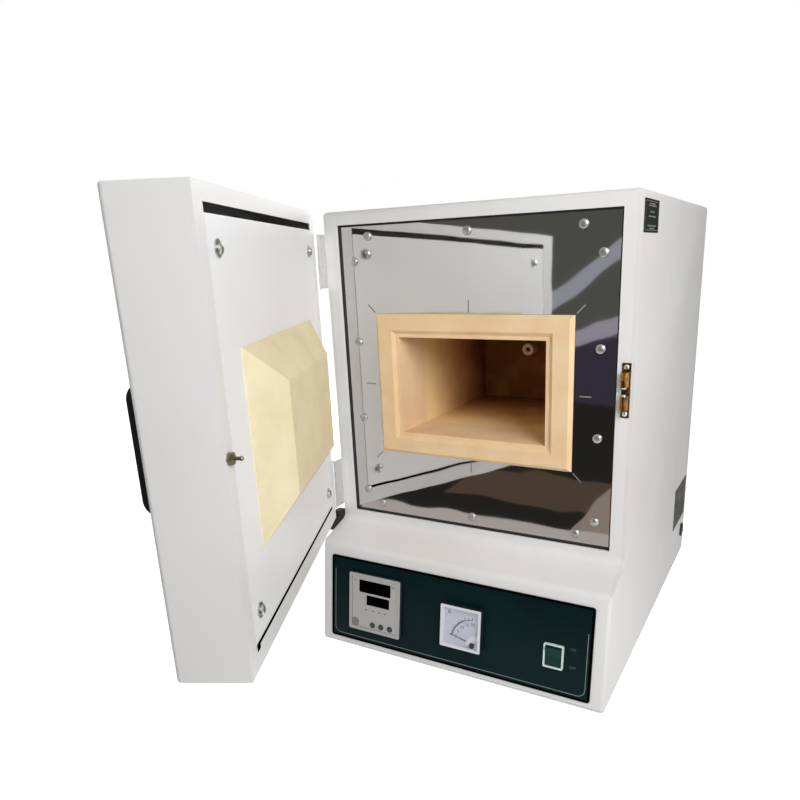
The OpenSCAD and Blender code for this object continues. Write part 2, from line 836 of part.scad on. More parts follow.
module mouth_block() color(fibre) difference() {
    translate([0, collar_y, muffle_z]) rotate([0, 0, 180])
        bevelled_block(muffle_w, muffle_h, collar_d, collar_chamfer, collar_chamfer, collar_chamfer);
    translate([0, front_y - past, muffle_z]) bevelled_block(
        chamber_w + 2 * rebate_w, chamber_h + 2 * rebate_w, rebate_d + past,
        rebate_bevel, rebate_bevel, rebate_d);
    span([-chamber_w / 2, front_y - past, muffle_z - chamber_h / 2],
         [chamber_w / 2, collar_y + past, muffle_z + chamber_h / 2]);
}

// Roof or floor board, its centre at height z over the chamber's centre
module flat_board(z) {
    span([-chamber_w / 2, collar_y, muffle_z + z - roof_board / 2],
         [chamber_w / 2, back_y, muffle_z + z + roof_board / 2]);
}

module chamber_floor() color(fibre) flat_board(-(chamber_h + roof_board) / 2);
module chamber_roof() color(fibre) flat_board((chamber_h + roof_board) / 2);

function run_z(k) = muffle_z + (k - (wire_runs - 1) / 2) * wire_pitch;

// Grooves for the wire's runs and pockets for its turns, cut from a side board's outer face
module wire_grooves() {
    half = wire_d / 2 + gap;
    x0 = muffle_w / 2 - groove_d;
    turn = wire_pitch / 2;
    for (k = [0:wire_runs - 1]) {
        lead = k == 0 || k == wire_runs - 1;
        span([x0, wire_front, run_z(k) - half],
             [muffle_w / 2 + past, lead ? back_y + past : wire_rear, run_z(k) + half]);
    }
    for (k = [0:2:wire_runs - 2]) span([x0, wire_front - turn - half, run_z(k) - half],
        [muffle_w / 2 + past, wire_front, run_z(k + 1) + half]);
    for (k = [1:2:wire_runs - 3]) span([x0, wire_rear, run_z(k) - half],
        [muffle_w / 2 + past, wire_rear + turn + half, run_z(k + 1) + half]);
}

module side_wall() difference() {
    span([chamber_w / 2, collar_y, muffle_z - muffle_h / 2], [muffle_w / 2, back_y, muffle_z + muffle_h / 2]);
    wire_grooves();
}

module chamber_left_wall() color(fibre) mirror([1, 0, 0]) side_wall();
module chamber_right_wall() color(fibre) side_wall();

module at_leads(y) {
    for (side = [-1, 1], k = [0, wire_runs - 1])
        translate([side * wire_x, y, run_z(k)]) rotate([-90, 0, 0]) children();
}

module at_sheath(y) {
    translate([sheath_x, y, muffle_z + sheath_up]) rotate([-90, 0, 0]) children();
}

module chamber_back() color(fibre) difference() {
    span([-muffle_w / 2, back_y, muffle_z - muffle_h / 2], [muffle_w / 2, muffle_end, muffle_z + muffle_h / 2]);
    at_leads(back_y - past) cylinder(d = wire_d + 2 * gap, h = back_board + 2 * past);
    at_sheath(back_y - past) cylinder(d = sheath_d + 2 * gap, h = back_board + 2 * past);
}

// One side's wire: straight runs joined by half-round turns, alternately in front and behind
module side_wire() {
    translate([wire_x, 0, 0]) {
        for (k = [0:wire_runs - 1]) {
            lead = k == 0 || k == wire_runs - 1;
            translate([0, wire_front, run_z(k)]) rotate([-90, 0, 0])
                cylinder(d = wire_d, h = (lead ? jacket_end + bush_l + 6 : wire_rear) - wire_front);
        }
        for (k = [0:wire_runs - 2]) {
            turn_y = k % 2 == 0 ? wire_front : wire_rear;
            facing = k % 2 == 0 ? 90 : -90;
            translate([0, turn_y, (run_z(k) + run_z(k + 1)) / 2]) rotate([facing, 0, 0]) rotate([0, 90, 0])
                rotate([0, 0, 90]) rotate_extrude(angle = 180) translate([wire_pitch / 2, 0]) circle(d = wire_d);
        }
    }
}

module heating_wires() color("#6E6A66") {
    side_wire();
    mirror([1, 0, 0]) side_wire();
}

module insulation_jacket() color("#EFEDE6") difference() {
    span([-muffle_w / 2 - jacket_side, shield_y + shield_t, deck_top],
         [muffle_w / 2 + jacket_side, jacket_end, cab_h - jacket_air]);
    span([-muffle_w / 2, front_y, muffle_z - muffle_h / 2], [muffle_w / 2, muffle_end, muffle_z + muffle_h / 2]);
    at_leads(muffle_end - past) cylinder(d = wire_d + 2 * gap, h = jacket_back + 2 * past);
    at_sheath(muffle_end - past) cylinder(d = sheath_d + 2 * gap, h = jacket_back + 2 * past);
    at_shield_screws() translate([0, 0, -shield_screw_l - 2])
        cylinder(d = shield_screw_d + 2 * gap, h = shield_screw_l + 2);
}

sheath_end = jacket_end + 10;

module thermocouple_sheath() color("#E8E2D6") at_sheath(back_y - sheath_reach) difference() {
    cylinder(d = sheath_d, h = sheath_end - back_y + sheath_reach);
    translate([0, 0, -past])
        cylinder(d = sheath_bore, h = sheath_end - back_y + sheath_reach + 2 * past);
}

module thermocouple_probe() color(steel) at_sheath(back_y - sheath_reach + 3)
    cylinder(d = probe_d, h = sheath_end - back_y + sheath_reach + head_l / 2 - 3);

module thermocouple_head() color(steel) at_sheath(sheath_end) difference() {
    union() {
        cylinder(d = head_d, h = head_l);
        translate([0, 0, head_l - 5]) cylinder(d = head_d + 4, h = 5);
    }
    translate([0, 0, -past]) cylinder(d = probe_d + 2 * gap, h = head_l / 2 + past + gap);
}

module element_bushes() color("#E8E2D6") at_leads(jacket_end) difference() {
    union() {
        cylinder(d = bush_d, h = bush_l);
        cylinder(d = bush_d + 6, h = 4);
    }
    translate([0, 0, -past]) cylinder(d = wire_d + 2 * gap, h = bush_l + 2 * past);
}

// ---------------------------------------------------------------- catch

module at_catch() {
    translate([catch_x, front_y, catch_z]) children();
}

catch_screw_z = catch_l / 2 - 4;

module catch_screw_holes() {
    for (side = [-1, 1]) translate([0, 0, side * catch_screw_z]) rotate([90, 0, 0])
        cylinder(d = screw_d - 0.5 + 2 * gap, h = 6 * sheet, center = true);
}

module catch_body() color(brass) at_catch() difference() {
    union() {
        span([-catch_w / 2, -catch_t, -catch_l / 2], [catch_w / 2, 0, catch_l / 2]);
        for (side = [0, 1]) mirror([0, 0, side]) {
            translate([0, -ball_up, catch_mouth / 2]) cylinder(d = housing_w, h = housing_l);
            span([-housing_w / 2, -ball_up, catch_mouth / 2],
                 [housing_w / 2, -catch_t / 2, catch_mouth / 2 + housing_l]);
        }
    }
    for (side = [0, 1]) mirror([0, 0, side]) translate([0, -ball_up, 0])
        cylinder(d = ball_d + 2 * running, h = catch_mouth / 2 + housing_l - 3);
    catch_screw_holes();
}

module catch_ball_upper() color(steel) at_catch() translate([0, -ball_up, ball_z]) sphere(d = ball_d);
module catch_ball_lower() color(steel) at_catch() translate([0, -ball_up, -ball_z]) sphere(d = ball_d);

module catch_screws() color(brass) at_catch() for (side = [-1, 1])
    translate([0, -catch_t, side * catch_screw_z]) rotate([90, 0, 0])
        screw(screw_head_d - 0.6, screw_head_h - 0.4, screw_d - 0.5, screw_l + 1);

// ---------------------------------------------------------------- hinges

middle_z = hinge_l / 2 - end_knuckle;
end_knuckles = [[-hinge_l / 2, -middle_z], [middle_z, hinge_l / 2]];
middle_knuckle = [[-middle_z + knuckle_gap, middle_z - knuckle_gap]];
// Room that each leaf leaves for the other one's knuckles
middle_room = [[-middle_z, middle_z]];
end_room = [[-hinge_l / 2 - past, -middle_z + knuckle_gap], [middle_z - knuckle_gap, hinge_l / 2 + past]];
cabinet_leaf_w = door_gap + leaf_w;

module cabinet_hinge_leaves() color(steel) difference() {
    for (z = hinge_heights) translate([hinge_x, hinge_y, z]) difference() {
        union() {
            span([pin_out - leaf_t, 0, -hinge_l / 2], [pin_out, cabinet_leaf_w, hinge_l / 2]);
            for (k = end_knuckles) translate([0, 0, k[0]]) cylinder(d = knuckle_d, h = k[1] - k[0]);
        }
        for (k = middle_room) span([-knuckle_d, -knuckle_d, k[0]], [knuckle_d, leaf_room, k[1]]);
        cylinder(d = pin_d + 2 * running, h = 2 * hinge_l, center = true);
    }
    at_cabinet_hinge_screws() cylinder(d = screw_d + 2 * gap, h = 6 * sheet, center = true);
}
leaf_room = knuckle_d / 2 + 0.6;

module hinge_pins() color(steel) for (z = hinge_heights) translate([hinge_x, hinge_y, z]) {
    cylinder(d = pin_d, h = hinge_l + 2 * pin_cap, center = true);
    for (side = [0, 1]) mirror([0, 0, side])
        translate([0, 0, hinge_l / 2]) cylinder(d = knuckle_d - 0.4, h = pin_cap);
}
pin_cap = 1.5;

module cabinet_hinge_screws() color(steel) {
    at_cabinet_hinge_screws() screw(screw_head_d, screw_head_h, screw_d, screw_l);
}

// The door swings over the low front part; the step behind the hinge line stops it
module door_buffer() color(black) {
    y1 = front_y + 3;
    y0 = y1 - buffer_l;
    step = hinge_y + 2.5;
    top = door_z - 1;
    translate([-cab_w / 2 - buffer_t, 0, 0]) along_x(buffer_t) polygon(rounded([
        [y0, top - buffer_h], [y1, top - buffer_h], [y1, door_z + buffer_rise],
        [step, door_z + buffer_rise], [step, top], [y0, top]], [9, 6, 5, 3, 0, 4]));
}

// ---------------------------------------------------------------- plates and grommet

module side_badge() color(black) span(
    [cab_w / 2, front_y + bend_r + 1, cab_h - badge_in - badge_h],
    [cab_w / 2 + plate_t, front_y + bend_r + 1 + badge_l, cab_h - badge_in]);

module rating_plate() color("#8E8C86") span(
    [cab_w / 2, rear_y - rating_in - rating_l, rating_z],
    [cab_w / 2 + plate_t, rear_y - rating_in, rating_z + rating_h]);

module at_grommet() {
    translate([cab_w / 2, rear_y - grommet_in, grommet_z]) rotate([0, 90, 0]) children();
}

module cable_grommet() color(black) at_grommet() difference() {
    union() {
        cylinder(d = grommet_d, h = 2.5);
        translate([0, 0, -sheet - 3]) cylinder(d = grommet_d - 3 - 2 * gap, h = sheet + 3);
        translate([0, 0, -sheet - 3]) cylinder(d = grommet_d - 1, h = 3 - gap);
    }
    cylinder(d = cable_bore, h = 60, center = true);
}

// ---------------------------------------------------------------- control front

ctl_hole = ctl_body + 2 * gap;
sw_body_w = well_w + 1.8;
sw_body_h = well_h + 1.8;

module panel_holes() {
    depth = 8 * sheet;
    on_slope(ctl_x, ctl_up) cube([ctl_hole, ctl_hole, depth], center = true);
    on_slope(amm_x, amm_up) cylinder(d = amm_body_d + 2 * gap, h = depth, center = true);
    on_slope(sw_x, sw_up) cube([sw_body_w + 2 * gap, sw_body_h + 2 * gap, depth], center = true);
}

module control_panel() color(panel_green) difference() {
    on_slope(0, panel_up + panel_h / 2) linear_extrude(panel_t) round_rect(panel_w, panel_h, panel_r);
    panel_holes();
}

// A square prism of side s between two heights over the slope
module square_prism(s, w0, w1) {
    translate([-s / 2, -s / 2, w0]) cube([s, s, w1 - w0]);
}

module controller_case() color(grey_plastic) on_slope(ctl_x, ctl_up) difference() {
    union() {
        square_prism(ctl_body, -ctl_depth, panel_t);
        translate([0, 0, panel_t]) linear_extrude(ctl_rise) round_rect(ctl_size, ctl_size, ctl_r);
    }
    square_prism(ctl_face + 2 * gap, ctl_floor, panel_t + ctl_rise + past);
}

module display_window(d, grow, w0, w1) {
    translate([d[0], d[1], w0]) linear_extrude(w1 - w0)
        square([d[2] + 2 * grow, d[3] + 2 * grow], center = true);
}

module controller_face() color("#A9ABA9") on_slope(ctl_x, ctl_up) difference() {
    square_prism(ctl_face, face_top - face_t, face_top);
    for (d = [upper_display, lower_display]) display_window(d, 0, 0, 2 * face_top);
    for (x = key_places) translate([x, key_row, 0]) cylinder(d = key_d + 2 * gap, h = 2 * face_top);
}

module controller_displays() color(black) on_slope(ctl_x, ctl_up)
    for (d = [upper_display, lower_display])
        display_window(d, -0.1, face_top - face_t, face_top - 0.4);

// A key: round cap, with a collar that keeps it under the face
module key(index) {
    under = face_top - face_t - gap - key_flange;
    on_slope(ctl_x, ctl_up) translate([key_places[index], key_row, under]) {
        cylinder(d = key_d + 1.6, h = key_flange);
        cylinder(d = key_d, h = face_top + 0.6 - under);
    }
}

module key_set() color(black) key(0);
module key_shift() color(black) key(1);
module key_down() color(black) key(2);
module key_up() color(black) key(3);

module ammeter_case() color("#E6E8EA") on_slope(amm_x, amm_up) difference() {
    union() {
        translate([0, 0, panel_t]) linear_extrude(amm_rise) round_rect(amm_size, amm_size, 1.5);
        translate([0, 0, -amm_depth]) cylinder(d = amm_body_d, h = amm_depth + panel_t);
    }
    square_prism(amm_inside, dial_w, panel_t + amm_rise + past);
}

module ammeter_dial() color("#D7DAE0") on_slope(amm_x, amm_up)
    square_prism(amm_inside - 2 * gap, dial_w, dial_w + 1);

window_w0 = panel_t + amm_rise - 1.5;

module ammeter_needle() color(black) on_slope(amm_x, amm_up)
    translate([needle_x, needle_v, dial_w + 1 + gap]) {
        cylinder(d = 3, h = 1.6);
        rotate([0, 0, 180 - needle_rest]) translate([0, -0.35, 0.5]) cube([needle_l, 0.7, 0.5]);
    }

module ammeter_window() color("#C8D4DA", 0.4) on_slope(amm_x, amm_up) {
    square_prism(amm_inside - 2 * gap, window_w0, window_w0 + 1.2);
    translate([needle_x, needle_v, window_w0 + 1.2]) cylinder(d = 6.2, h = 1);
}

module switch_bezel() color("#C8E1D7") on_slope(sw_x, sw_up) difference() {
    union() {
        translate([0, 0, panel_t]) linear_extrude(sw_rise) round_rect(sw_w, sw_h, 2);
        translate([-sw_body_w / 2, -sw_body_h / 2, -sw_depth])
            cube([sw_body_w, sw_body_h, sw_depth + panel_t]);
    }
    translate([-well_w / 2, -well_h / 2, -sw_depth + 2])
        cube([well_w, well_h, sw_depth + panel_t + sw_rise]);
    translate([0, 0, pivot_w]) rotate([0, 90, 0]) cylinder(d = 3, h = well_w + 1.4, center = true);
}

module rocker() color(black) {
    half_w = well_w / 2 - gap;
    crown = 4.6;                                 // height of its middle over the pivot
    tip = crown + rocker_half * tan(rocker_tilt);
    on_slope(sw_x, sw_up) translate([0, 0, pivot_w]) rotate([rocker_tilt, 0, 0]) {
        translate([-half_w, 0, 0]) along_x(2 * half_w) polygon([
            [-rocker_foot, -6], [rocker_foot, -6], [rocker_half, tip - 3], [rocker_half, tip], [0, crown],
            [-rocker_half, tip], [-rocker_half, tip - 3]]);
        rotate([0, 90, 0]) cylinder(d = 3 - 2 * running, h = well_w + 1, center = true);
    }
}

// ---------------------------------------------------------------- electrics

relay_at = [-70, 60];     // from the middle of the base
terminal_at = [70, 110];

module heat_sink() color("#9BA0A3") translate([relay_at[0], relay_at[1], base_t]) {
    span([-sink_w / 2, -sink_l / 2, sink_h - sink_plate], [sink_w / 2, sink_l / 2, sink_h]);
    for (k = [0:sink_fins - 1]) {
        x = -sink_w / 2 + k * (sink_w - fin_t) / (sink_fins - 1);
        span([x, -sink_l / 2, 0], [x + fin_t, sink_l / 2, sink_h]);
    }
}

module power_relay() color("#2A3A50") translate([relay_at[0], relay_at[1], base_t + sink_h]) difference() {
    span([-relay_w / 2, -relay_l / 2, 0], [relay_w / 2, relay_l / 2, relay_h]);
    for (sx = [-1, 1], sy = [-1, 1]) translate([sx * relay_w / 4, sy * (relay_l / 2 - 9), relay_h - 4])
        cylinder(d = 9, h = 5);
}

module terminal_block() color("#D8D4C8") translate([terminal_at[0], terminal_at[1], base_t]) difference() {
    span([-poles * pole_w / 2, -terminal_d / 2, 0], [poles * pole_w / 2, terminal_d / 2, terminal_h]);
    for (k = [0:poles - 1], side = [-1, 1])
        translate([(k - (poles - 1) / 2) * pole_w, side * terminal_d / 4, terminal_h / 2])
            cylinder(d = pole_w / 2, h = terminal_h / 2 + past);
}

// ---------------------------------------------------------------- door

// The door's solid form, d inside its outer faces
module door_form(d) {
    intersection() {
        translate([door_w / 2, -d, d]) linear_extrude(door_h - 2 * d)
            rotate(180) bent_top(door_w - 2 * d, door_t - 2 * d, bend_r - d);
        translate([d, -d, door_h / 2]) rotate([0, 90, 0])
            linear_extrude(door_w - 2 * d) rotate(180) bent_top(door_h - 2 * d, door_t - 2 * d, bend_r - d);
    }
}

module at_liner_bolts() {
    for (x = [liner_x0 + liner_bolt_side, liner_x1 - liner_bolt_side],
         z = [liner_z0 + liner_bolt_in, liner_z1 - liner_bolt_in])
        translate([x, 0, z]) rotate([-90, 0, 0]) children();
}

module at_handle_screws() {
    for (side = [-1, 1]) translate([door_w - handle_in, -door_t + sheet,
        handle_z + side * (handle_l / 2 - handle_foot / 2)]) rotate([-90, 0, 0]) children();
}

module at_door_hinge_screws() {
    for (z = hinge_heights, dz = [-1, 1])
        translate([-leaf_t, -leaf_w / 2 - 3, z - door_z + dz * hinge_l / 4]) rotate([0, -90, 0]) children();
}

module door_shell() color(enamel) on_door() difference() {
    door_form(0);
    door_form(sheet);
    span([rim_w, -2 * sheet, rim_foot], [door_w - rim_w, past, door_h - rim_head]);
    at_handle_screws() cylinder(d = handle_screw_d + 2 * gap, h = 6 * sheet, center = true);
    at_door_hinge_screws() cylinder(d = screw_d + 2 * gap, h = 6 * sheet, center = true);
}

module door_liner() color(enamel) on_door() difference() {
    span([liner_x0, -liner_t, liner_z0], [liner_x1, 0, liner_z1]);
    at_liner_bolts() cylinder(d = bolt_d + 2 * gap, h = 6 * liner_t, center = true);
}

module door_board() color("#EFEDE6") on_door() difference() {
    span([board_in, -door_t + door_air, sheet], [door_w - board_in, -sheet, liner_z1 - gap]);
    at_liner_bolts() translate([0, 0, -bolt_l - gap]) cylinder(d = bolt_d + 2 * gap, h = bolt_l + gap);
}
board_in = 12;

module door_plug() color(plug_fibre) on_door() translate([plug_x, 0, plug_z])
    bevelled_block(muffle_w, muffle_h, plug_proud, plug_taper_w, plug_taper_h, plug_proud - plug_land);

module liner_bolts() color(steel) on_door() at_liner_bolts() {
    cylinder(d = washer_d, h = washer_t);
    translate([0, 0, washer_t]) screw(bolt_head_d, bolt_head_h, bolt_d, bolt_l + washer_t);
}

module striker() color(steel) on_door()
    translate([catch_x - door_x, 0, catch_z - door_z]) rotate([-90, 0, 0]) {
        cylinder(d = striker_foot_d, h = striker_foot_h, $fn = 6);
        cylinder(d = neck_d, h = striker_reach - tip_d / 2);
        translate([0, 0, striker_reach - tip_d / 2]) sphere(d = tip_d);
    }

module door_handle() color(black) on_door() difference() {
    translate([door_w - handle_in - handle_w / 2, -door_t, handle_z]) along_x(handle_w) polygon(rounded([
        [0, -handle_l / 2], [0, -handle_l / 2 + handle_foot],
        [grip_t - handle_rise, -handle_l / 2 + handle_foot + 4],
        [grip_t - handle_rise, handle_l / 2 - handle_foot - 4],
        [0, handle_l / 2 - handle_foot], [0, handle_l / 2],
        [-handle_rise, handle_l / 2 - 6], [-handle_rise, -handle_l / 2 + 6]],
        [1, 2, 6, 6, 2, 1, handle_r, handle_r]));
    at_handle_screws() translate([0, 0, -sheet - handle_screw_in - gap])
        cylinder(d = handle_screw_d + 2 * gap, h = handle_screw_in + 2);
}

module handle_screws() color(steel) on_door() at_handle_screws()
    screw(handle_head_d, handle_head_h, handle_screw_d, sheet + handle_screw_in);

module door_hinge_leaves() color(steel) on_door() difference() {
    for (z = hinge_heights) translate([hinge_x - door_x, hinge_y - door_y, z - door_z]) difference() {
        union() {
            span([door_x - hinge_x - leaf_t, -leaf_w, -hinge_l / 2], [door_x - hinge_x, 0, hinge_l / 2]);
            for (k = middle_knuckle) translate([0, 0, k[0]]) cylinder(d = knuckle_d, h = k[1] - k[0]);
        }
        for (k = end_room) span([-knuckle_d, -leaf_room, k[0]], [knuckle_d, knuckle_d, k[1]]);
        cylinder(d = pin_d + 2 * running, h = 2 * hinge_l, center = true);
    }
    at_door_hinge_screws() cylinder(d = screw_d + 2 * gap, h = 6 * sheet, center = true);
}

module door_hinge_screws() color(steel) on_door() {
    at_door_hinge_screws() screw(screw_head_d, screw_head_h, screw_d, screw_l);
}

// ---------------------------------------------------------------- nodes

outer_casing();
front_frame();
base_front();
base_plate();
rear_cover();
rear_cover_screws();
deck_plate();
mirror_plate();
plate_screws();
frame_seal();
mouth_block();
chamber_floor();
chamber_roof();
chamber_left_wall();
chamber_right_wall();
chamber_back();
heating_wires();
insulation_jacket();
thermocouple_sheath();
thermocouple_probe();
thermocouple_head();
element_bushes();
catch_body();
catch_ball_upper();
catch_ball_lower();
catch_screws();
cabinet_hinge_leaves();
hinge_pins();
cabinet_hinge_screws();
door_buffer();
side_badge();
rating_plate();
control_panel();
controller_case();
controller_face();
controller_displays();
key_set();
key_shift();
key_down();
key_up();
ammeter_case();
ammeter_dial();
ammeter_needle();
ammeter_window();
switch_bezel();
rocker();
cable_grommet();
power_relay();
heat_sink();
terminal_block();
door_shell();
door_liner();
door_board();
door_plug();
liner_bolts();
striker();
door_handle();
handle_screws();
door_hinge_leaves();
door_hinge_screws();
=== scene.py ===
"""Dresses the bench-top muffle furnace.

Powder-coated sheet steel, a polished stainless heat shield, ceramic-fibre blocks and a gloss control
front. Every piece is in the part's own frame, in metres: X to the right, Y to the back, Z up.
"""
import math

import bpy
import numpy as np
from mathutils import Matrix, Vector


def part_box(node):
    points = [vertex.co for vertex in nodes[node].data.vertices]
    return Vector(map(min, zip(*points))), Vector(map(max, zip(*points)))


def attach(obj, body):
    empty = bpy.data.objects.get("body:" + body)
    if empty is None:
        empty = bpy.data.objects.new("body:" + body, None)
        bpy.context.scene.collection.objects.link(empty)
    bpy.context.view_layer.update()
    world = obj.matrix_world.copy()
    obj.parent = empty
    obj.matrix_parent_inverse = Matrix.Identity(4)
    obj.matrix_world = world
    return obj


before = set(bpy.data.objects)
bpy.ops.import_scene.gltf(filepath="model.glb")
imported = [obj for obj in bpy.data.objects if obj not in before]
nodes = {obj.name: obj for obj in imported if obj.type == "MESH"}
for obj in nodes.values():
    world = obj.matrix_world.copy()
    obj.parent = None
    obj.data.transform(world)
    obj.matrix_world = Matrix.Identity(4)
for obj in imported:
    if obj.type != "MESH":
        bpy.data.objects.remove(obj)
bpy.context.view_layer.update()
MM = 0.001
LEAN = math.radians(7.5)    # of the control front
DOOR_TURN = math.radians(25.6)      # the open door liner's outward normal, from X


# ---------------------------------------------------------------- materials

def linear(code):
    """An sRGB hex colour as the linear values that Blender's shaders take."""
    values = [int(code[i:i + 2], 16) / 255 for i in (1, 3, 5)]
    return tuple(v / 12.92 if v <= 0.04045 else ((v + 0.055) / 1.055) ** 2.4 for v in values) + (1.0,)


def add(tree, kind, links=None, **settings):
    """Adds a node with its settings and links. A setting is a property of the node or else the value of the
    input of that name; links maps an input, by name or number, to the output that feeds it."""
    made = tree.nodes.new(kind)
    for name, value in settings.items():
        if name in made.bl_rna.properties:
            setattr(made, name, value)
    for name, value in settings.items():
        if name not in made.bl_rna.properties:
            made.inputs[name.replace("_", " ")].default_value = value
    for name, source in (links or {}).items():
        tree.links.new(source, made.inputs[name])
    return made


def material(name, colour, roughness, metallic=0.0, **sockets):
    """A principled material with its constants on the shader's own sockets. Returns it, its tree and its shader."""
    made = bpy.data.materials.new(name)
    made.use_nodes = True
    tree = made.node_tree
    shader = tree.nodes["Principled BSDF"]
    shader.inputs["Base Color"].default_value = linear(colour)
    shader.inputs["Roughness"].default_value = roughness
    shader.inputs["Metallic"].default_value = metallic
    for key, value in sockets.items():
        shader.inputs[key.replace("_", " ")].default_value = value
    return made, tree, shader


def clouding(tree, shader, low, high, size_mm, detail):
    """Patches of two near colours, size_mm across: uneven coating, firing or casting."""
    place = add(tree, "ShaderNodeTexCoord")
    cloud = add(tree, "ShaderNodeTexNoise", {"Vector": place.outputs["Object"]},
                Scale=1 / (size_mm * MM), Detail=detail, Roughness=0.55)
    ramp = add(tree, "ShaderNodeValToRGB", {"Fac": cloud.outputs["Fac"]})
    first, last = ramp.color_ramp.elements
    first.position, first.color = 0.32, linear(low)
    last.position, last.color = 0.68, linear(high)
    tree.links.new(ramp.outputs["Color"], shader.inputs["Base Color"])


EVEN = (1, 1, 1)        # grain that isn't drawn out along any axis


def relief(tree, shader, layers):
    """Layers of raised grain. Each is (grain in mm, height in mm, strength, detail, stretch)."""
    normal = None
    for size_mm, height_mm, strength, detail, stretch in layers:
        place = add(tree, "ShaderNodeTexCoord")
        scaled = add(tree, "ShaderNodeMapping", {"Vector": place.outputs["Object"]}, Scale=stretch)
        grain = add(tree, "ShaderNodeTexNoise", {"Vector": scaled.outputs["Vector"]},
                    Scale=1 / (size_mm * MM), Detail=detail, Roughness=0.6)
        raised = add(tree, "ShaderNodeBump", {"Height": grain.outputs["Fac"]},
                     Strength=strength, Distance=height_mm * MM)
        if normal is not None:
            tree.links.new(normal, raised.inputs["Normal"])
        normal = raised.outputs["Normal"]
    tree.links.new(normal, shader.inputs["Normal"])


def powder_coat(name, low, high, roughness, gloss=0.5):
    """Polyester powder coat on folded steel: an even soft gloss with a faint orange peel about 1.5 mm across."""
    made, tree, shader = material(name, high, roughness, Specular_IOR_Level=gloss)
    clouding(tree, shader, low, high, 160, 1.0)
    relief(tree, shader, [(1.5, 0.02, 0.35, 1.0, EVEN), (120, 0.25, 0.5, 0.0, (1, 1, 0.4))])
    return made


def stainless(name, colour, roughness, wave_mm, wave_height):
    """Bright stainless sheet: a mirror that slow handling waves bend, under a fine grain drawn out along X."""
    made, tree, shader = material(name, colour, roughness, 1.0)
    relief(tree, shader, [(wave_mm, wave_height, 1.0, 1.0, EVEN), (0.5, 0.002, 0.2, 1.0, (0.03, 1, 1))])
    return made


def bowed(tree, shader, start, slope, spread):
    """Bows an upright sheet in its shading. Above the height start its relief falls by slope, all in metres:
    h = -slope spread log(1 + exp((z - start) / spread))."""
    place = add(tree, "ShaderNodeTexCoord")
    axes = add(tree, "ShaderNodeSeparateXYZ", {"Vector": place.outputs["Object"]})
    past = add(tree, "ShaderNodeMapRange", {"Value": axes.outputs["Z"]}, clamp=False,
               From_Min=start, From_Max=start + spread)
    grown = add(tree, "ShaderNodeMath", {0: past.outputs["Result"]}, operation="EXPONENT")
    grown = add(tree, "ShaderNodeMath", {0: grown.outputs["Value"]}, operation="ADD")
    grown.inputs[1].default_value = 1.0
    soft = add(tree, "ShaderNodeMath", {0: grown.outputs["Value"]}, operation="LOGARITHM")
    soft.inputs[1].default_value = math.e
    drop = add(tree, "ShaderNodeMath", {0: soft.outputs["Value"]}, operation="MULTIPLY")
    drop.inputs[1].default_value = -slope * spread
    waves = shader.inputs["Normal"].links[0].from_node
    bow = add(tree, "ShaderNodeBump", {"Height": drop.outputs["Value"], "Normal": waves.outputs["Normal"]},
              Strength=1.0, Distance=1.0)
    tree.links.new(bow.outputs["Normal"], shader.inputs["Normal"])


def plated(name, low, high, roughness):
    """Small pressed or turned steel pieces, plated: a broken reflection and a little greying between pieces."""
    made, tree, shader = material(name, high, roughness, 1.0)
    clouding(tree, shader, low, high, 6, 2.0)
    relief(tree, shader, [(2.5, 0.03, 0.6, 1.0, EVEN)])
    return made


def ceramic_fibre(name, low, high, height):
    """Vacuum-formed ceramic-fibre board: dead matt and faintly clouded, with a felted grain of 1 to 2 mm."""
    made, tree, shader = material(name, high, 0.95, Specular_IOR_Level=0.15)
    clouding(tree, shader, low, high, 30, 4.0)
    relief(tree, shader, [(9, height, 0.5, 2.0, EVEN), (1.4, height, 0.55, 4.0, EVEN)])
    return made


def fired_fibre():
    """Fibre boards of the chamber: tan behind the mouth, turning darker brown towards the back."""
    made, tree, shader = material("fired ceramic fibre", "#C39763", 0.95, Specular_IOR_Level=0.1)
    place = add(tree, "ShaderNodeTexCoord")
    axes = add(tree, "ShaderNodeSeparateXYZ", {"Vector": place.outputs["Object"]})
    depth = add(tree, "ShaderNodeMapRange", {"Value": axes.outputs["Y"]}, From_Min=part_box("chamber_floor")[0][1],
                From_Max=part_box("chamber_back")[0][1])
    cloud = add(tree, "ShaderNodeTexNoise", {"Vector": place.outputs["Object"]}, Scale=25.0, Detail=3.0)
    uneven = add(tree, "ShaderNodeMapRange", {"Value": cloud.outputs["Fac"]}, To_Min=-0.22, To_Max=0.22)
    both = add(tree, "ShaderNodeMath", {0: depth.outputs["Result"], 1: uneven.outputs["Result"]}, operation="ADD")
    ramp = add(tree, "ShaderNodeValToRGB", {"Fac": both.outputs["Value"]})
    first, last = ramp.color_ramp.elements
    first.position, first.color = 0.1, linear("#F4D4A0")
    last.position, last.color = 1.0, linear("#8A5A34")
    ramp.color_ramp.elements.new(0.55).color = linear("#D3A268")
    tree.links.new(ramp.outputs["Color"], shader.inputs["Base Color"])
    relief(tree, shader, [(1.6, 0.4, 0.6, 4.0, EVEN)])
    return made


def moulded(name, colour, roughness, gloss=0.5):
    """Moulded plastic or rubber: one colour with the fine leather grain of the mould."""
    made, tree, shader = material(name, colour, roughness, Specular_IOR_Level=gloss)
    relief(tree, shader, [(0.6, 0.01, 0.3, 2.0, EVEN)])
    return made


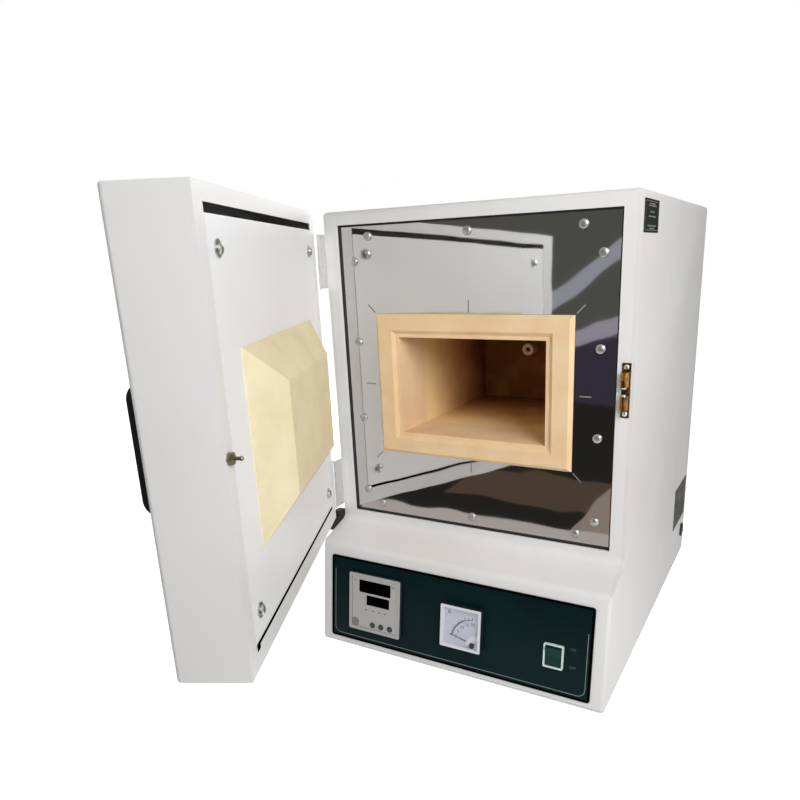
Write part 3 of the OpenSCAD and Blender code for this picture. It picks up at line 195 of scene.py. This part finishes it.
def dark_flanks(name, front, shaded_flank_colour, roughness, node):
    """A panel instrument's moulding: pale in front, with painted shade on the outer sides of its housing over the
    panel, where they turn away from the slope's face.
    Its outer tenth is max(|x - x0| / w, |z - z0| / h) > 0.9 of the node's box."""
    made = moulded(name, front, roughness)
    tree = made.node_tree
    place = add(tree, "ShaderNodeTexCoord")
    low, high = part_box(node)
    axes = add(tree, "ShaderNodeSeparateXYZ", {"Vector": place.outputs["Object"]})
    away = []
    for axis, i in (("X", 0), ("Z", 2)):
        across = add(tree, "ShaderNodeMapRange", {"Value": axes.outputs[axis]}, clamp=False, From_Min=low[i],
                     From_Max=high[i], To_Min=-1.0, To_Max=1.0)
        away.append(add(tree, "ShaderNodeMath", {0: across.outputs["Result"]}, operation="ABSOLUTE"))
    outer = add(tree, "ShaderNodeMath", {0: away[0].outputs["Value"], 1: away[1].outputs["Value"]},
                operation="MAXIMUM")
    outer = add(tree, "ShaderNodeMapRange", {"Value": outer.outputs["Value"]}, From_Min=0.88, From_Max=0.94)
    facing = add(tree, "ShaderNodeVectorMath", {0: place.outputs["Normal"]}, operation="DOT_PRODUCT")
    facing.inputs[1].default_value = (0, -math.cos(LEAN), math.sin(LEAN))
    turned = add(tree, "ShaderNodeMapRange", {"Value": facing.outputs["Value"]}, From_Min=0.75, From_Max=0.5)
    # the share of painted shade: the outer tenth, where it turns away from the slope's face
    dark = add(tree, "ShaderNodeMath", {0: outer.outputs["Result"], 1: turned.outputs["Result"]},
               operation="MULTIPLY")
    ramp = add(tree, "ShaderNodeValToRGB", {"Fac": dark.outputs["Value"]})
    first, last = ramp.color_ramp.elements
    first.color, last.color = linear(front), linear(shaded_flank_colour)
    tree.links.new(ramp.outputs["Color"], tree.nodes["Principled BSDF"].inputs["Base Color"])
    return made


def gloss_film(name, low, high):
    """Screen-printed film with a satin hard coat: a deep even colour with hardly any glare."""
    made, tree, shader = material(name, high, 0.3, Specular_IOR_Level=0.06)
    clouding(tree, shader, low, high, 90, 1.0)
    relief(tree, shader, [(40, 0.05, 0.5, 0.0, EVEN)])
    return made


def clear(name, colour, roughness):
    """Clear acrylic cover: only its gloss and a trace of body colour show."""
    made = material(name, colour, roughness, Alpha=0.06, IOR=1.49)[0]
    made.surface_render_method = "BLENDED"
    return made


def ink(name, colour, gloss=0.2):
    """Printing ink: flat, matt and thin."""
    return material(name, colour, 0.6, Specular_IOR_Level=gloss)[0]


enamel = powder_coat("white powder coat", "#E2E1E0", "#E7E6E5", 0.42)
# the same white powder coat as the front, made darker and less glossy: painted shade on the casing's sides and top
casing_coat_painted_shade = powder_coat("white powder coat of the casing", "#DEDAD7", "#E4E3E2", 0.5, 0.2)
# the same white powder coat made whiter: painted light on the door liner
liner_coat_painted_light = powder_coat("white powder coat of the door liner", "#EFEFF0", "#F4F4F4", 0.42)
shield = stainless("bright stainless heat shield", "#D2D2D0", 0.035, 70, 0.5)
bowed(shield.node_tree, shield.node_tree.nodes["Principled BSDF"], start=0.36, slope=0.04, spread=0.02)
zinc = stainless("galvanised sheet", "#B4B8BA", 0.35, 30, 0.1)
screw_plate = plated("zinc-plated screws", "#A3A4A2", "#BFBFBC", 0.42)
bolt_plate = plated("zinc-plated bolts and washers", "#9A9B98", "#CBCBC7", 0.28)
striker_plate = plated("yellow-passivated striker", "#6E6F5C", "#93927A", 0.35)
ball_steel = plated("polished ball steel", "#C8C8C6", "#DADAD8", 0.12)
hinge_steel = plated("nickel-plated hinge steel", "#DCDDDD", "#E8E9E9", 0.4)
collar_fibre = ceramic_fibre("ceramic fibre of the collar", "#E7C59A", "#EDD0A8", 0.3)
plug_fibre = ceramic_fibre("ceramic fibre of the door plug", "#E2D4AD", "#EADEBC", 0.3)
wool = ceramic_fibre("ceramic-fibre blanket", "#8E8A82", "#A8A49B", 0.8)
fired = fired_fibre()
brass = plated("drawn brass", "#5C4524", "#B98646", 0.32)
gasket = moulded("black silicone gasket", "#151515", 0.7)
panel_gloss = gloss_film("screen-printed polycarbonate film", "#041A1D", "#062022")
# the grey case's second colour, #2A3031, is painted shade on its outer sides
controller_grey = dark_flanks("grey ABS", "#B0AFAB", "#2A3031", 0.5, "controller_case")
controller_plate = moulded("printed grey polyester film", "#B4B3AF", 0.5)
display = material("smoked display window", "#0B0606", 0.35, Specular_IOR_Level=0.06)[0]
key_rubber = moulded("black rubber key", "#26282A", 0.5)
key_grey = moulded("grey rubber key", "#7C7E7C", 0.5)
# the meter's second colour, #1E2628, is painted shade on its outer sides
meter_white = dark_flanks("white ABS of the meter", "#DDE0E6", "#1E2628", 0.35, "ammeter_case")
dial_paint = moulded("printed meter dial", "#C6CAD8", 0.5)
needle_paint = moulded("black needle paint", "#101010", 0.5)
acrylic = clear("clear acrylic", "#EEF2F4", 0.04)
switch_mint = moulded("mint-white gloss nylon", "#CFE6DD", 0.3)
rocker_green = moulded("green-black nylon", "#12352E", 0.4, gloss=0.1)
handle_black = moulded("black moulded nylon", "#212225", 0.42)
badge_black = moulded("black anodised badge", "#33352F", 0.6, gloss=0.0)
plate_metal = ceramic_fibre("etched aluminium plate", "#46433F", "#7C7872", 0.02)
# the door's fibre board is coloured near-black: painted shade of the door's cavity, seen through its slot
board_painted_shade = ceramic_fibre("fibre board in the door's shade", "#35322F", "#454240", 0.3)
porcelain = ceramic_fibre("unglazed porcelain", "#F0E4CC", "#F6ECD8", 0.1)
wire_metal = plated("oxidised resistance wire", "#4A4440", "#6B645E", 0.6)
relay_blue = moulded("blue-black polycarbonate", "#2C3A4C", 0.4)
sink_metal = stainless("extruded aluminium", "#9DA1A3", 0.35, 20, 0.05)
terminal_white = moulded("ivory polyamide", "#D8D3C4", 0.45)
grey_ink = ink("grey printing ink", "#56585A")
dark_ink = ink("black printing ink", "#0B0D10")
mask_ink = ink("black window print", "#050303", 0.0)
dim_ink = ink("dim grey printing ink", "#8A9492")
badge_ink = ink("grey badge print", "#6C7068")
faint_ink = ink("worn printing ink", "#4C625F")

FINISHES = {
    casing_coat_painted_shade: ["outer_casing"],
    enamel: ["front_frame", "base_front", "rear_cover", "door_shell"],
    liner_coat_painted_light: ["door_liner"],
    zinc: ["base_plate", "deck_plate"],
    shield: ["mirror_plate"],
    screw_plate: ["plate_screws", "rear_cover_screws", "cabinet_hinge_screws", "door_hinge_screws", "handle_screws"],
    bolt_plate: ["liner_bolts"],
    striker_plate: ["striker"],
    ball_steel: ["catch_ball_upper", "catch_ball_lower"],
    hinge_steel: ["cabinet_hinge_leaves", "hinge_pins", "door_hinge_leaves", "thermocouple_head", "catch_screws"],
    collar_fibre: ["mouth_block"],
    plug_fibre: ["door_plug"],
    wool: ["insulation_jacket"],
    board_painted_shade: ["door_board"],
    fired: ["chamber_floor", "chamber_roof", "chamber_left_wall", "chamber_right_wall", "chamber_back"],
    brass: ["catch_body"],
    gasket: ["frame_seal", "door_buffer", "cable_grommet"],
    panel_gloss: ["control_panel"],
    controller_grey: ["controller_case"],
    controller_plate: ["controller_face"],
    display: ["controller_displays"],
    key_rubber: ["key_shift", "key_down", "key_up"],
    key_grey: ["key_set"],
    meter_white: ["ammeter_case"],
    dial_paint: ["ammeter_dial"],
    needle_paint: ["ammeter_needle"],
    acrylic: ["ammeter_window"],
    switch_mint: ["switch_bezel"],
    rocker_green: ["rocker"],
    handle_black: ["door_handle"],
    badge_black: ["side_badge"],
    plate_metal: ["rating_plate"],
    porcelain: ["thermocouple_sheath", "element_bushes"],
    wire_metal: ["heating_wires", "thermocouple_probe"],
    relay_blue: ["power_relay"],
    sink_metal: ["heat_sink"],
    terminal_white: ["terminal_block"],
}
for finish, names in FINISHES.items():
    for name in names:
        nodes[name].data.materials.clear()
        nodes[name].data.materials.append(finish)


# ---------------------------------------------------------------- printed and fine pieces

FOOT_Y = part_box("base_plate")[0][1] - 0.3 * MM


def on_slope(points):
    """Points (across, up, out) in mm on the leaning control front, as places in metres:
    (x, foot_y + up sin(lean) - out cos(lean), up cos(lean) + out sin(lean))."""
    x, u, w = np.moveaxis(np.asarray(points, float), -1, 0)
    return np.stack([x * MM, FOOT_Y + (u * math.sin(LEAN) - w * math.cos(LEAN)) * MM,
                     (u * math.cos(LEAN) + w * math.sin(LEAN)) * MM], -1)


def piece(name, verts, faces, finish, body):
    """One mesh object with one finish that rides on a body. A row of faces that repeats its third corner is a
    triangle."""
    mesh = bpy.data.meshes.new(name)
    mesh.from_pydata(verts.tolist(), [], [row[:3] if row[-1] == row[2] else row for row in faces.tolist()])
    mesh.materials.append(finish)
    made = bpy.data.objects.new(name, mesh)
    bpy.context.scene.collection.objects.link(made)
    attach(made, body)


ARC = 8     # points on a printed corner


def ribbon(path, width, closed=False):
    """A flat strip along a plane path p(i), edges at p(i) +- width/2 n(i), n being the path's left normal.
    Returns the strip's points in the plane and its faces."""
    path = np.asarray(path, float)
    ahead = np.gradient(path, axis=0)
    if closed:
        ahead = np.roll(path, -1, 0) - np.roll(path, 1, 0)
    normal = np.stack([-ahead[:, 1], ahead[:, 0]], -1) / np.linalg.norm(ahead, axis=1, keepdims=True)
    verts = np.concatenate([path - normal * width / 2, path + normal * width / 2])
    n = len(path)
    i = np.arange(n if closed else n - 1)
    j = (i + 1) % n
    return verts, np.stack([i, j, j + n, i + n], -1)


def rounded_loop(w, h, r):
    """A closed rectangle path about (0, 0), its corners arcs (cx + r cos t, cy + r sin t) of ARC points."""
    t = np.radians(np.linspace(0, 90, ARC))[None, :] + np.radians([[0], [90], [180], [270]])
    cx = np.array([[1], [-1], [-1], [1]]) * (w / 2 - r)
    cy = np.array([[1], [1], [-1], [-1]]) * (h / 2 - r)
    return np.stack([cx + r * np.cos(t), cy + r * np.sin(t)], -1).reshape(-1, 2)


def disc(x, y, r):
    """A disc as a ribbon of radius 0 to r: the ring path of radius r/2 and width r."""
    t = np.linspace(0, 2 * np.pi, 4 * ARC, endpoint=False)
    return ribbon(np.stack([x + r / 2 * np.cos(t), y + r / 2 * np.sin(t)], -1), r, closed=True)


def bar(x, y, w, h):
    """A rectangle about (x, y)."""
    corners = np.array([[-1, -1], [1, -1], [1, 1], [-1, 1]]) * (w / 2, h / 2)
    return corners + (x, y), np.array([[0, 1, 2, 3]])


def join(parts):
    """Several (points, faces) as one."""
    starts = np.cumsum([0] + [len(v) for v, f in parts[:-1]])
    return np.concatenate([v for v, f in parts]), np.concatenate([f + s for (v, f), s in zip(parts, starts)])


def print_on_slope(name, parts, out, finish, at):
    """Flat shapes laid out mm over the control front's foot plane, about the point at (across, up)."""
    flat, faces = join(parts)
    raised = np.concatenate([flat + np.asarray(at, float), np.full((len(flat), 1), out)], 1)
    piece(name, on_slope(raised), faces, finish, "cabinet")


def lettering(text, size, x, y):
    """Generic marks such as numbers and ON, size mm high about (x, y), as flat (points, faces)."""
    curve = bpy.data.curves.new("marks", "FONT")
    curve.body = text
    curve.size = size
    curve.align_x = curve.align_y = "CENTER"
    made = bpy.data.objects.new("marks", curve)
    bpy.context.scene.collection.objects.link(made)
    mesh = bpy.data.meshes.new_from_object(made)
    mesh.calc_loop_triangles()
    verts = np.empty(len(mesh.vertices) * 3)
    mesh.vertices.foreach_get("co", verts)
    faces = np.empty(len(mesh.loop_triangles) * 3, int)
    mesh.loop_triangles.foreach_get("vertices", faces)
    bpy.data.objects.remove(made)
    corners = faces.reshape(-1, 3)
    return verts.reshape(-1, 3)[:, :2] + (x, y), np.concatenate([corners, corners[:, -1:]], 1)


def middle_x(node):
    """The middle of a node across the furnace, in mm."""
    low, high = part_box(node)
    return (low[0] + high[0]) / 2 / MM


panel_low, panel_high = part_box("control_panel")
PANEL_W = (panel_high[0] - panel_low[0]) / MM
PANEL_H = (panel_high[2] - panel_low[2]) / MM / math.cos(LEAN)
PANEL_UP = panel_low[2] / MM / math.cos(LEAN)
PANEL = (0, PANEL_UP + PANEL_H / 2)     # each instrument's middle on the front: mm across, mm up
CONTROLLER = (middle_x("controller_case"), 61.5)
METER = (middle_x("ammeter_case"), 60.0)
SWITCH = (middle_x("switch_bezel"), 51.7)
PANEL_FACE, CONTROLLER_FACE, DIAL_FACE = 1.5, 5.2, 5.0      # heights over the slope, mm
LINE_INSET = 11     # what the printed line and its rounded foot leave of the panel, both sides together
BORDER_INSET = 3

inset = rounded_loop(PANEL_W - LINE_INSET, PANEL_H - LINE_INSET, 8)[2 * ARC:]
ends = np.array([[-1, 0.75], [1, 0.5]]) * (PANEL_W - LINE_INSET, PANEL_H - LINE_INSET) / 2
print_on_slope("panel_line", [ribbon(np.concatenate([ends[:1], inset, ends[1:]]), 0.65)],
               PANEL_FACE + 0.06, dim_ink, PANEL)
print_on_slope("panel_border",
               [ribbon(rounded_loop(PANEL_W - BORDER_INSET, PANEL_H - BORDER_INSET, 2), 2.6, closed=True)],
               PANEL_FACE + 0.04, mask_ink, PANEL)

print_on_slope("display_masks", [bar(0.3, 20.6, 44.4, 15.6), bar(4.8, 4.0, 32.0, 12.4)],
               CONTROLLER_FACE + 0.05, mask_ink, CONTROLLER)
ticks = [bar(x, -8.6, 2.6, 1.3) for x in (-11.5, -1.5, 7, 15.5)]
corner_marks = [bar(-27, 26.5, 3, 0.9), bar(26, 26.5, 3.5, 0.9)]
print_on_slope("controller_marks", ticks + corner_marks, CONTROLLER_FACE + 0.06, grey_ink, CONTROLLER)
print_on_slope("set_key_ring", [ribbon(rounded_loop(9.6, 9.6, 4.79) + (-27.5, -26.7), 0.9, closed=True)],
               CONTROLLER_FACE + 0.06, grey_ink, CONTROLLER)

PIVOT = np.array([15.5, -16.5])     # the needle's, from the meter's middle
ARC_R = 27.5                        # radius of the scale


def meter_scale():
    """The meter's printed arc: ticks (x0 + r cos t, y0 + r sin t) about the needle's pivot, t from 95 to 170
    degrees, longer at every fifth and tenth, a thin base line, the numbers 20 to 0 and an A. Near 20 the scale is
    open, with none of the short ticks."""
    last, open_to = 40, 12
    t = np.radians(np.linspace(95, 170, last + 1))
    ring = np.stack([np.cos(t), np.sin(t)], -1)
    parts = [ribbon(PIVOT + ARC_R * ring, 0.6)]
    for k in range(last + 1):
        long = 3.4 if k % 10 == 0 else 2.4 if k % 5 == 0 else 1.5
        if k % 5 == 0 or k > open_to:
            parts.append(ribbon(PIVOT + ring[k] * np.array([[ARC_R], [ARC_R + long / 2], [ARC_R + long]]), 0.65))
    for amps in (20, 15, 10, 5, 0):
        x, y = PIVOT + (ARC_R - 5) * ring[last - 2 * amps]
        parts.append(lettering(str(amps), 5.2, x, y))
    parts.append(lettering("A", 7.0, -16, 15.0))
    return parts


print_on_slope("meter_scale", meter_scale(), DIAL_FACE + 0.05, dark_ink, METER)


def quarter_mask():
    """The white mask over the movement: a quarter disc of radius 15.5 mm about the dial's lower right corner,
    points (a - r cos t, b + r sin t), as a fan of triangles."""
    corner = np.array([21.0, -21.0])
    t = np.radians(np.linspace(0, 90, 20))
    arc = corner + 15.5 * np.stack([-np.cos(t), np.sin(t)], -1)
    verts = np.concatenate([corner[None], arc])
    k = np.arange(1, len(arc))
    return verts, np.stack([np.zeros_like(k), k + 1, k, k], -1)


print_on_slope("meter_mask", [quarter_mask()], DIAL_FACE + 1.6, meter_white, METER)
print_on_slope("meter_knob", [disc(*PIVOT, 3.4)], DIAL_FACE + 5.3, needle_paint, METER)

print_on_slope("switch_marks", [lettering("ON", 4, 20.5, 11.5), lettering("OFF", 4, 21, -8.5)],
               PANEL_FACE + 0.06, faint_ink, SWITCH)


def liner_joint():
    """Painted shade along the foot of the open door's liner: a black strip for the shade in its joint and a black
    square for the shaded gap at its free end.
    Points are a along + b up + d out, along running from the hinge side to the free side and out standing off the
    liner."""
    shape = nodes["door_liner"]
    verts = np.array([shape.matrix_world @ v.co for v in shape.data.vertices])
    along = np.array([math.sin(DOOR_TURN), -math.cos(DOOR_TURN), 0.0])
    out = np.array([math.cos(DOOR_TURN), math.sin(DOOR_TURN), 0.0])
    low, high = (verts @ along).min() + 2 * MM, (verts @ along).max() - 1 * MM
    face, foot = (verts @ out).max() + 0.2 * MM, verts[:, 2].min()
    strip = bar((low + high) / 2, foot - 1.2 * MM, high - low, 3.6 * MM)
    gap = bar(high - 4 * MM, foot - 3 * MM, 8 * MM, 7 * MM)
    flat, faces = join([strip, gap])
    piece("liner_joint", flat[:, :1] * along + face * out + flat[:, 1:] * np.array([0, 0, 1.0]), faces,
          mask_ink, "door")


liner_joint()


def on_side(node, parts, name, finish):
    """Flat shapes (y, z) in mm about the middle of a plate on the cabinet's right side, just over its face."""
    low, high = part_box(node)
    flat, faces = join(parts)
    middle = [(low[1] + high[1]) / 2, (low[2] + high[2]) / 2]
    verts = np.concatenate([np.full((len(flat), 1), high[0] + 0.00005), flat * MM + middle], 1)
    piece(name, verts, faces, finish, "cabinet")


def side_size(node):
    """Width and height in mm of a plate on the cabinet's side."""
    low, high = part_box(node)
    return (high[1] - low[1]) / MM, (high[2] - low[2]) / MM


def text_bars(w, h, rows, thick):
    """Rows of unreadable small print as bars, each row (place across, place up, length) in shares of the plate."""
    return [bar(w * x, h * z, w * long, thick) for x, z, long in rows]


BADGE_W, BADGE_H = side_size("side_badge")
badge_frame = ribbon(rounded_loop(BADGE_W - 4, BADGE_H - 4, 1), 0.6, closed=True)
badge_rows = ((0, 0.36, 0.4), (0, 0.3, 0.55), (0, 0.12, 0.3), (0, -0.02, 0.5), (0, -0.3, 0.6), (0, -0.38, 0.35))
on_side("side_badge", [badge_frame] + text_bars(BADGE_W, BADGE_H, badge_rows, 1.2), "badge_marks", badge_ink)
PLATE_W, PLATE_H = side_size("rating_plate")
plate_head = bar(0, PLATE_H * 0.4, PLATE_W * 0.9, PLATE_H * 0.13)
plate_rows = ((-0.1, 0.22, 0.6), (0.08, 0.1, 0.66), (-0.2, -0.02, 0.4), (0.24, -0.02, 0.3), (0, -0.14, 0.8),
              (-0.15, -0.26, 0.5), (0.05, -0.38, 0.7))
on_side("rating_plate", [plate_head] + text_bars(PLATE_W, PLATE_H, plate_rows, 1.6), "rating_marks", dark_ink)


# ---------------------------------------------------------------- stage, light and camera

def stage_plane(name, corners, finish, reflection_only=False):
    """A flat four-cornered piece of the studio. A reflection-only one is seen by gloss alone."""
    mesh = bpy.data.meshes.new(name)
    mesh.from_pydata([tuple(c) for c in corners], [], [(0, 1, 2, 3)])
    made = bpy.data.objects.new(name, mesh)
    bpy.context.scene.collection.objects.link(made)
    mesh.materials.append(finish)
    if reflection_only:
        made.visible_camera = made.visible_diffuse = made.visible_shadow = made.visible_transmission = False
    return made


def pale_paper():
    """White paper that keeps the object's shadow, brightened where it is seen directly or in gloss."""
    made, tree, shader = material("white studio paper", "#F4F4F4", 0.9, Specular_IOR_Level=0.0)
    rays = add(tree, "ShaderNodeLightPath")
    seen = add(tree, "ShaderNodeMath", {0: rays.outputs["Is Camera Ray"], 1: rays.outputs["Is Glossy Ray"]},
               operation="MAXIMUM")
    seen = add(tree, "ShaderNodeMath", {0: seen.outputs["Value"], 1: rays.outputs["Is Transmission Ray"]},
               operation="MAXIMUM")
    strength = add(tree, "ShaderNodeMapRange", {"Value": seen.outputs["Value"]}, To_Max=0.9)
    lift = add(tree, "ShaderNodeEmission", {"Strength": strength.outputs["Result"]})
    both = add(tree, "ShaderNodeAddShader", {0: shader.outputs["BSDF"], 1: lift.outputs["Emission"]})
    tree.links.new(both.outputs["Shader"], tree.nodes["Material Output"].inputs["Surface"])
    return made


def unlit_cloth(name, colour):
    """Unlit cloth or board, as bright as its colour says."""
    return material(name, "#000000", 1.0, Specular_IOR_Level=0.0, Emission_Color=linear(colour),
                    Emission_Strength=1.0)[0]


stage_plane("floor", [(-6, -6, 0), (6, -6, 0), (6, 6, 0), (-6, 6, 0)], pale_paper())

# stands beside the cabinet's right side and takes light from it, most towards the back
black_card = stage_plane("black card", [(0.52, -0.1, 0.0), (0.52, 0.9, 0.0), (0.52, 0.9, 0.55), (0.52, -0.1, 0.35)],
                         material("black card", "#0A0A0A", 1.0, Specular_IOR_Level=0.0)[0])
black_card.visible_camera = black_card.visible_glossy = black_card.visible_transmission = False

WALL_Y = -1.65      # the studio's far wall, in front of the furnace


def card(name, colour, middle, size, turn, place):
    """A plain card that only gloss sees: size in metres about its middle, turned by degrees in its own plane, with
    corners middle + R(turn) (+-w/2, +-h/2). place lifts a plane point (a, b) onto the floor or the wall."""
    w, h = size
    c, s = math.cos(math.radians(turn)), math.sin(math.radians(turn))
    plane = [(middle[0] + c * x - s * y, middle[1] + s * x + c * y)
             for x, y in ((-w / 2, -h / 2), (w / 2, -h / 2), (w / 2, h / 2), (-w / 2, h / 2))]
    stage_plane(name, [place(*point) for point in plane], unlit_cloth(name + " cloth", colour), True)


def on_floor(layer):
    """Lays a card on the floor, each layer just over the one before."""
    return lambda x, y: (x, y, 0.001 + 0.0005 * layer)


def on_wall(layer):
    """Hangs a card on the far wall, each layer just before the last one."""
    return lambda x, z: (x, WALL_Y + 0.001 * layer, z)


card("black floor cloth", "#2A2825", (-0.2, -1.1), (2.8, 1.1), 0, on_floor(0))
card("brown board", "#5A4A40", (-0.1, -0.75), (0.4, 0.2), 0, on_floor(1))
card("tan board", "#9B8D85", (0.3, -0.75), (0.6, 0.4), 0, on_floor(2))
card("bench edge", "#C2B8B4", (-0.15, -0.53), (1.5, 0.06), 0, on_floor(3))
card("grey wall cloth", "#5A5A55", (-1.2, 0.8), (3.6, 1.6), 0, on_wall(0))
card("violet skirting cloth", "#3C3846", (-1.2, 0.15), (3.6, 0.3), 0, on_wall(1))
card("upper pale strip", "#A5A5B1", (-0.3, 0.5), (0.4, 0.06), 35, on_wall(2))
card("lower pale strip", "#A5A0AF", (-0.3, 0.3), (0.3, 0.06), 25, on_wall(3))

world = bpy.data.worlds.new("studio")
bpy.context.scene.world = world
world.use_nodes = True
sky = world.node_tree
sky.nodes.clear()
rays = add(sky, "ShaderNodeLightPath")
direct = add(sky, "ShaderNodeMath", {0: rays.outputs["Is Camera Ray"], 1: rays.outputs["Is Glossy Ray"]},
             operation="MAXIMUM")
direct = add(sky, "ShaderNodeMath", {0: direct.outputs["Value"], 1: rays.outputs["Is Transmission Ray"]},
             operation="MAXIMUM")
way = add(sky, "ShaderNodeTexCoord")
turned = add(sky, "ShaderNodeVectorMath", {0: way.outputs["Generated"]}, operation="DOT_PRODUCT")
turned.inputs[1].default_value = (0, 0, 1)
dimmed = add(sky, "ShaderNodeMapRange", {"Value": turned.outputs["Value"]}, From_Min=0.0, From_Max=1.0,
             To_Min=0.37, To_Max=0.18)
fill = add(sky, "ShaderNodeBackground", {"Strength": dimmed.outputs["Result"]}, Color=(1, 1, 1, 1))
gloss = add(sky, "ShaderNodeMapRange", {"Value": rays.outputs["Is Glossy Ray"]}, To_Min=1.0, To_Max=0.75)
seen = add(sky, "ShaderNodeBackground", {"Strength": gloss.outputs["Result"]}, Color=(1, 1, 1, 1))
mixed = add(sky, "ShaderNodeMixShader", {"Fac": direct.outputs["Value"], 1: fill.outputs["Background"],
                                         2: seen.outputs["Background"]})
add(sky, "ShaderNodeOutputWorld", {"Surface": mixed.outputs["Shader"]})


def softbox(name, place, aim, size, power):
    """A square area lamp at place that faces aim."""
    lamp = bpy.data.lights.new(name, "AREA")
    lamp.shape = "SQUARE"
    lamp.size = size
    lamp.energy = power
    made = bpy.data.objects.new(name, lamp)
    bpy.context.scene.collection.objects.link(made)
    made.location = place
    made.rotation_euler = (Vector(aim) - Vector(place)).to_track_quat("-Z", "Y").to_euler()


softbox("main softbox", (0.85, -0.8, 0.85), (0.1, 0, 0.35), 0.6, 10.8)
softbox("rear softbox", (-0.75, 1.5, 0.9), (-0.1, 0.2, 0.3), 0.8, 9)

CAMERA_AT = (0.32647, -0.84893, 0.45954)        # metres
view = bpy.data.cameras.new("camera")
camera = bpy.data.objects.new("camera", view)
bpy.context.scene.collection.objects.link(camera)
bpy.context.scene.camera = camera
view.sensor_width = 36
view.lens = 30.92
view.shift_x = -0.0320
view.shift_y = 0.0813
view.clip_start = 0.01
azimuth, elevation, roll = math.radians(29.48), math.radians(16.73), math.radians(-2.18)
ahead = np.array([-math.sin(azimuth) * math.cos(elevation), math.cos(azimuth) * math.cos(elevation),
                  -math.sin(elevation)])
level = np.array([math.cos(azimuth), math.sin(azimuth), 0.0])
upright = np.cross(level, ahead)
right = level * math.cos(roll) + upright * math.sin(roll)
up = upright * math.cos(roll) - level * math.sin(roll)
axes = Matrix(np.stack([right, up, -ahead], -1).tolist()).to_4x4()
camera.matrix_world = Matrix.Translation(CAMERA_AT) @ axes

bpy.context.scene.view_settings.view_transform = "Standard"
